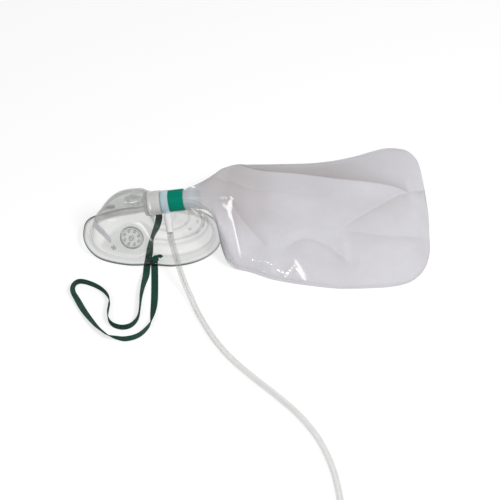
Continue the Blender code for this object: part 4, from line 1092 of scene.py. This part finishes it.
stations = strap_stations()
ways = np.gradient(stations[:, :3], axis=0)
ways[:2], ways[-2:] = (0, 0, -1), (0, 0, 1)
gone = travelled(stations[:, :3])
flat_way = Vector((1, 0, 0))
strap_rings = []
section = ((1, 0.35), (0.94, 1), (0.5, 0.9), (0, 1), (-0.5, 0.9), (-0.94, 1), (-1, 0.35), (-1, -0.35),
           (-0.94, -1), (-0.5, -0.9), (0, -1), (0.5, -0.9), (0.94, -1), (1, -0.35))
for (x, y, z, roll), way in zip(stations, ways):
    along = Vector(way).normalized()
    if abs(along.z) < 0.5:
        flat_way = Vector((-along.y, along.x, 0)).normalized()
    up = along.cross(flat_way).normalized()
    width = flat_way * math.cos(roll) + up * math.sin(roll)
    depth = along.cross(width).normalized()
    strap_rings.append([Vector((x, y, z)) + width * (a * STRAP_WIDTH / 2) + depth
                        * (b * STRAP_THICKNESS / 2) for a, b in section])
strap = lofted("head_strap", strap_rings, elastic, sharp=50)
weave_map = strap.data.uv_layers.new(name="weave")
for loop in strap.data.loops:
    row, column = divmod(loop.vertex_index, len(section))
    weave_map.data[loop.index].uv = (section[column][0] * 1.7, gone[row] / 3)
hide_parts("strap")
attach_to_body(strap, "root")


# Knots: each end of the strap is tied in a single tight knot on top of its slot, too large to
# slip back through, with a short cut tail.

def knot(name, side, tail_way):
    """A tight overhand knot as a flattened strand, and the strap's cut end."""
    centre = np.array([SLOT_X, side * SLOT_Y, 7.8])
    size, strand_wide, strand_high = 1.35, 1.45, 1.9
    turns = np.linspace(0, 2 * math.pi, 72, endpoint=False)
    line = np.stack([np.sin(turns) + 2 * np.sin(2 * turns), np.cos(turns) - 2 * np.cos(2 * turns),
                     -1.25 * np.sin(3 * turns)], axis=1) * size
    rings = []
    ahead = np.roll(line, -1, axis=0) - np.roll(line, 1, axis=0)
    for place, way in zip(line, ahead):
        way = Vector(way).normalized()
        side_way = way.cross(Vector((0, 0, 1))).normalized()
        up = side_way.cross(way)
        rings.append([place + centre + np.array(side_way * (strand_wide * math.cos(a))
                                                + up * (strand_high * math.sin(a)))
                      for a in np.linspace(0, 2 * math.pi, 12, endpoint=False)])
    verts = [tuple(v) for ring in rings for v in ring]
    faces = [f[::-1] for f in rings_to_faces(len(rings), 12, loop=True)]
    tail = smooth_route([centre + p for p in tail_way], 0.6)
    start = len(verts)
    for i, (place, way) in enumerate(zip(tail, np.gradient(tail, axis=0))):
        way = Vector(way).normalized()
        wide = way.cross(Vector((0, 0, 1))).normalized()
        thin = wide.cross(way)
        grow = 1.5 + 0.9 * i / len(tail)
        verts += [tuple(place + np.array(wide * (a * grow) + thin * (b * 0.45)))
                  for a, b in ((1, 1), (-1, 1), (-1, -1), (1, -1))]
    faces += [tuple(start + v for v in f[::-1]) for f in rings_to_faces(len(tail), 4, caps=True)]
    made = shape(name, verts, faces, elastic, None, 50)
    uv = made.data.uv_layers.new(name="weave")
    for loop in made.data.loops:
        place = made.data.vertices[loop.vertex_index].co
        uv.data[loop.index].uv = (place.x / (2 * MM), place.y / (3 * MM))
    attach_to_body(made, "root")
    return made


near_knot = knot("strap_knot_near_tied", -1,
                 ((1, 0.5, 0.5), (3.8, 2.4, 2.2), (6.6, 3.0, 2.4), (8.4, 1.4, 1.8)))
far_knot = knot("strap_knot_far_tied", 1, ((1, 0.5, 0.5), (3, 1.2, 1.6), (5, 1, 1.0)))
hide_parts("strap_knot_near")
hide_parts("strap_knot_far")


# Oxygen tube: 2.1 m of clear star-lumen tubing, 7 mm outside, pushed into a softer cuff that
# grips the inlet. What the photograph doesn't show is wound in a coil beyond the view.

def bore_painted_shade(look):
    """Painted shade: two thin dark lines along the tube, set by how squarely the surface faces the eye,
    in place of the ribs of the bore seen through the wall.
    """
    facing = look.facing()
    return 0.12 * facing.on(0.05, 0.1) + 0.04 * facing.on(0.5, 0.25)


tubing = clear_look("clear_tubing", (0.87, 0.872, 0.865), 0.06, (0.955, 0.957, 0.952),
                    (0.66, 0.67, 0.662), 2.6, 0.09, 0.00001, 160, bore_painted_shade)
cuff_plastic = clear_look("white_cuff", (0.99, 0.99, 0.99), 0.76, (0.96, 0.965, 0.96),
                          (0.90, 0.91, 0.91), 2.4, 0.14, 0.00005, 160)

TUBE_RADIUS = 3.5
TUBE_ROUTE = ((107.6, -50, 29.4), (113.2, -67.3, 20.6), (119.6, -84, 11.9), (127.3, -101, 5.6),
              (131.5, -112, 3.8), (137.7, -127, 3.5), (149.5, -151.7, 3.5), (159.8, -169.2, 3.5),
              (168.6, -182, 3.5), (181, -197, 3.5), (199, -216, 3.5), (221, -238, 3.5),
              (243, -263, 3.5), (261, -292, 3.5), (273, -326, 3.5), (278.6, -362, 3.5),
              (280.2, -395, 3.5), (279.7, -417, 3.5))
COIL_X, COIL_Y, COIL_LIFT = 231.5, -445, 0.9
COIL_RADII = (49, 42, 35, 35, 42, 49, 49)  # at the start of each turn, and at the end of the last
COIL_OUTER, COIL_MIDDLE = COIL_RADII[:2]
CUFF_ANGLE = math.radians(-100)
CUFF_HEIGHT = COIL_LIFT + 4 * TUBE_RADIUS + FIT + 5.4


def around_coil(radius, turn, y=0.0):
    """The plan point at a radius and turn round the coil's middle, moved on by y at right angles."""
    c, s = math.cos(turn), math.sin(turn)
    return COIL_X + radius * c - y * s, COIL_Y + radius * s + y * c


def coil_line():
    """Six turns from outside in and back out above, then up to the end cuff on top."""
    low, high = COIL_LIFT + TUBE_RADIUS, COIL_LIFT + 3 * TUBE_RADIUS
    heights = (low, low, low, high, high, high, high)
    line = []
    for t in np.arange(0, 6.0, 1 / 32):
        i = int(t)
        move = smooth_step(t - i, 0.84, 1.0)
        radius = COIL_RADII[i] + (COIL_RADII[i + 1] - COIL_RADII[i]) * move
        height = heights[i] + (heights[i + 1] - heights[i]) * move
        line.append((*around_coil(radius, -2 * math.pi * t), height))
    for turn in np.linspace(0, -62, 12):
        height = high + (CUFF_HEIGHT - high) * smooth_step(-turn, 2, 60)
        line.append((*around_coil(COIL_OUTER, math.radians(turn)), height))
    for y in (21, 15, 9, 3):
        line.append((*around_coil(COIL_MIDDLE, CUFF_ANGLE, y), CUFF_HEIGHT))
    return line


# A hollow tube along a curve, closed at both ends: the outside and the turned-over bore
hollow_tube = node_tree(
    "hollow_tube", {"Radius": "Float", "Bore": "Float", "Sides": "Int", "Caps": "Bool",
                    "Material": "Material"},
    {"outer": "CurvePrimitiveCircle", "inner": "CurvePrimitiveCircle", "skin": "CurveToMesh",
     "bore": "CurveToMesh", "flip": "FlipFaces", "gather": "JoinGeometry", "smooth": "SetShadeSmooth",
     "solid": "RealizeInstances", "paint": "SetMaterial"},
    ("in.Radius > outer.Radius", "in.Sides > outer.Resolution", "in.Geometry > skin.Curve",
     "outer.Curve > skin.Profile Curve", "in.Caps > skin.Fill Caps", "skin.Mesh > gather.Geometry",
     "in.Bore > inner.Radius", "in.Sides > inner.Resolution", "in.Geometry > bore.Curve",
     "inner.Curve > bore.Profile Curve", "in.Caps > bore.Fill Caps", "bore.Mesh > flip.Mesh",
     "flip.Mesh > gather.Geometry", "gather.Geometry > smooth.Geometry",
     "smooth.Geometry > solid.Geometry", "solid.Geometry > paint.Geometry",
     "in.Material > paint.Material", "paint.Geometry > out.Geometry"))
first, second = (inlet_place @ Vector((0, 0, out)) for out in (38.3, 45))
tube_line = np.vstack([first, smooth_route([second, *TUBE_ROUTE, *coil_line()], 4.5)])
tube_path = in_frame(tube_line)
carrier = bpy.data.curves.new("tube_line", "CURVE")
carrier.dimensions = "3D"
spline = carrier.splines.new("POLY")
spline.points.add(len(tube_path) - 1)
for place, point in zip(spline.points, tube_path):
    place.co = (*point, 1)
tube_carrier = bpy.data.objects.new("tube_line", carrier)
bpy.context.scene.collection.objects.link(tube_carrier)
tube_mesh = grown(tube_carrier, hollow_tube, {
    "Radius": TUBE_RADIUS * MM, "Bore": 2.3 * MM, "Sides": 16, "Caps": True, "Material": tubing})
bpy.data.objects.remove(tube_carrier)
tube = bpy.data.objects.new("supply_tube", tube_mesh)
bpy.context.scene.collection.objects.link(tube)
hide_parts("oxygen_tube", "oxygen_tube_coil")
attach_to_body(tube, "root")

cuff = turned("inlet_cuff", ((3.0, 16), (4.8, 16), (4.8, 20), (4.5, 25), (4.0, 33), (3.7, 38), (3.0, 38)),
              cuff_plastic, inlet_place, 0.4, 4, 48)
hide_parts("tube_cuff")
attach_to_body(cuff, "root")

coil_place = Matrix.Translation((COIL_X, COIL_Y, 0))
cuff_place = (coil_place @ Matrix.Rotation(CUFF_ANGLE, 4, "Z")
              @ Matrix.Translation((COIL_MIDDLE, 16, CUFF_HEIGHT)) @ Matrix.Rotation(math.pi / 2, 4, "X"))
grip = [(radius, height + 2 * i) for i in range(6)
        for radius, height in ((4.4, 1.6), (4.15, 2.0), (4.15, 2.6), (4.4, 3.0))]
end_cuff = turned("end_cuff", (
    (3.6, 0), (4.4, 0), *grip, (4.4, 14.4), (5.4, 19.2), (5.4, 32), (3.3, 32), (3.3, 15), (3.6, 14)),
    cuff_plastic, cuff_place, 0.25, steps=48)
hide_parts("tube_end_cuff")
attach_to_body(end_cuff, "root")


# Tie: a strip of white paper, wrapped once round the turns of the coil and stuck on itself to
# hold them together until the mask is used.

paper_look = Finish("tie_paper")
fibre = paper_look.noise(420, 4.0, 0.7)
paper = paper_look.done(paper_look.skin(
    paper_look.blend(fibre, (0.72, 0.72, 0.70), (0.86, 0.86, 0.84)), 0.9,
    paper_look.bump(fibre, 0.5, 0.0002)))
tie_place = coil_place @ Matrix.Rotation(math.radians(100), 4, "Z") @ Matrix.Translation(
    (COIL_MIDDLE, 0, COIL_LIFT + 2 * TUBE_RADIUS))
wide, tall, bow, corner = 10.8, 7.3, 0.3, 2.6
tie_rings = []
for y, grow in ((-4, 0), (-4, 0.4), (4, 0.4), (4, 0)):
    loop = []
    for cx, cz, start in ((1, 1, 0), (-1, 1, 90), (-1, -1, 180), (1, -1, 270)):
        middle = wide + grow + (bow if cx < 0 else 0) - corner
        for a in np.radians(np.linspace(start, start + 90, 7)):
            loop.append((cx * middle + corner * math.cos(a), y,
                         cz * (tall + grow - corner) + corner * math.sin(a)))
    tie_rings.append(loop[::-1])
tie = lofted("coil_tie_strip", tie_rings, paper, tie_place, loop=True)
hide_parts("coil_tie")
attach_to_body(tie, "root")
float(travelled(tube_path)[-1])


# Studio: a white table and world, a soft key lamp over the near right, a small one on the left for
# the highlights, and the camera 45 degrees above the table.

scene = bpy.context.scene
scene.view_settings.view_transform = "Standard"
scene.cycles.transparent_max_bounces = 32


def looked_at(look):
    """1 for what the camera sees, also by reflection and through clear plastic."""
    camera, glossy, clear = (look.add("LightPath", output=f"Is {kind} Ray")
                             for kind in ("Camera", "Glossy", "Transmission"))
    return camera.most(glossy).most(clear)


sky = Finish("studio", bpy.data.worlds)
scene.world = sky.done(sky.add("Background", {
    "Color": (1, 1, 1), "Strength": 0.38 + 0.62 * looked_at(sky)}), "OutputWorld")

table_look = Finish("table_white")
matt, shown = (table_look.add("BsdfDiffuse", {"Color": (grey,) * 3}) for grey in (0.8, 0.42))
lit = table_look.add("Emission", {"Color": (1, 1, 1), "Strength": 0.68})
both = table_look.add("AddShader", {"#0": lit, "#1": shown})
table_white = table_look.done(table_look.mix(looked_at(table_look), matt, both))
table = bpy.data.objects.new("table_top", bpy.data.meshes.new("table_top"))
table_half, table_z = 4, -0.0005
table.data.from_pydata([(a * table_half, b * table_half, table_z)
                        for a, b in ((-1, -1), (1, -1), (1, 1), (-1, 1))], [], [(0, 1, 2, 3)])
table.data.materials.append(table_white)
scene.collection.objects.link(table)

for name, place, size, power in (("key", (0.75, -0.7, 1.3), (0.5, 0.5), 14.0),
                                 ("strip", (-0.6, -0.95, 1.05), (0.5, 0.05), 2.2)):
    lamp = bpy.data.objects.new(f"{name}_lamp", bpy.data.lights.new(f"{name}_lamp", "AREA"))
    lamp.data.shape = "RECTANGLE"
    lamp.data.size, lamp.data.size_y = size
    lamp.data.energy = power
    lamp.location = place
    lamp.visible_glossy = name == "strip"
    lamp.rotation_euler = (Vector((0, -0.03, 0.03)) - Vector(place)).to_track_quat("-Z", "Y").to_euler()
    scene.collection.objects.link(lamp)

camera = bpy.data.objects.new("camera", bpy.data.cameras.new("camera"))
camera.data.sensor_width = 36
focal_pixels, picture_pixels = 1217, 500
camera.data.lens = focal_pixels / picture_pixels * camera.data.sensor_width
aim = Vector((-0.00725, -0.0417, 0))
pitch, distance = math.radians(45), 1.4
camera.location = aim + distance * Vector((0, -math.cos(pitch), math.sin(pitch)))
camera.rotation_euler = (pitch, 0, 0)
camera.data.clip_start = 0.01
scene.collection.objects.link(camera)
scene.camera = camera
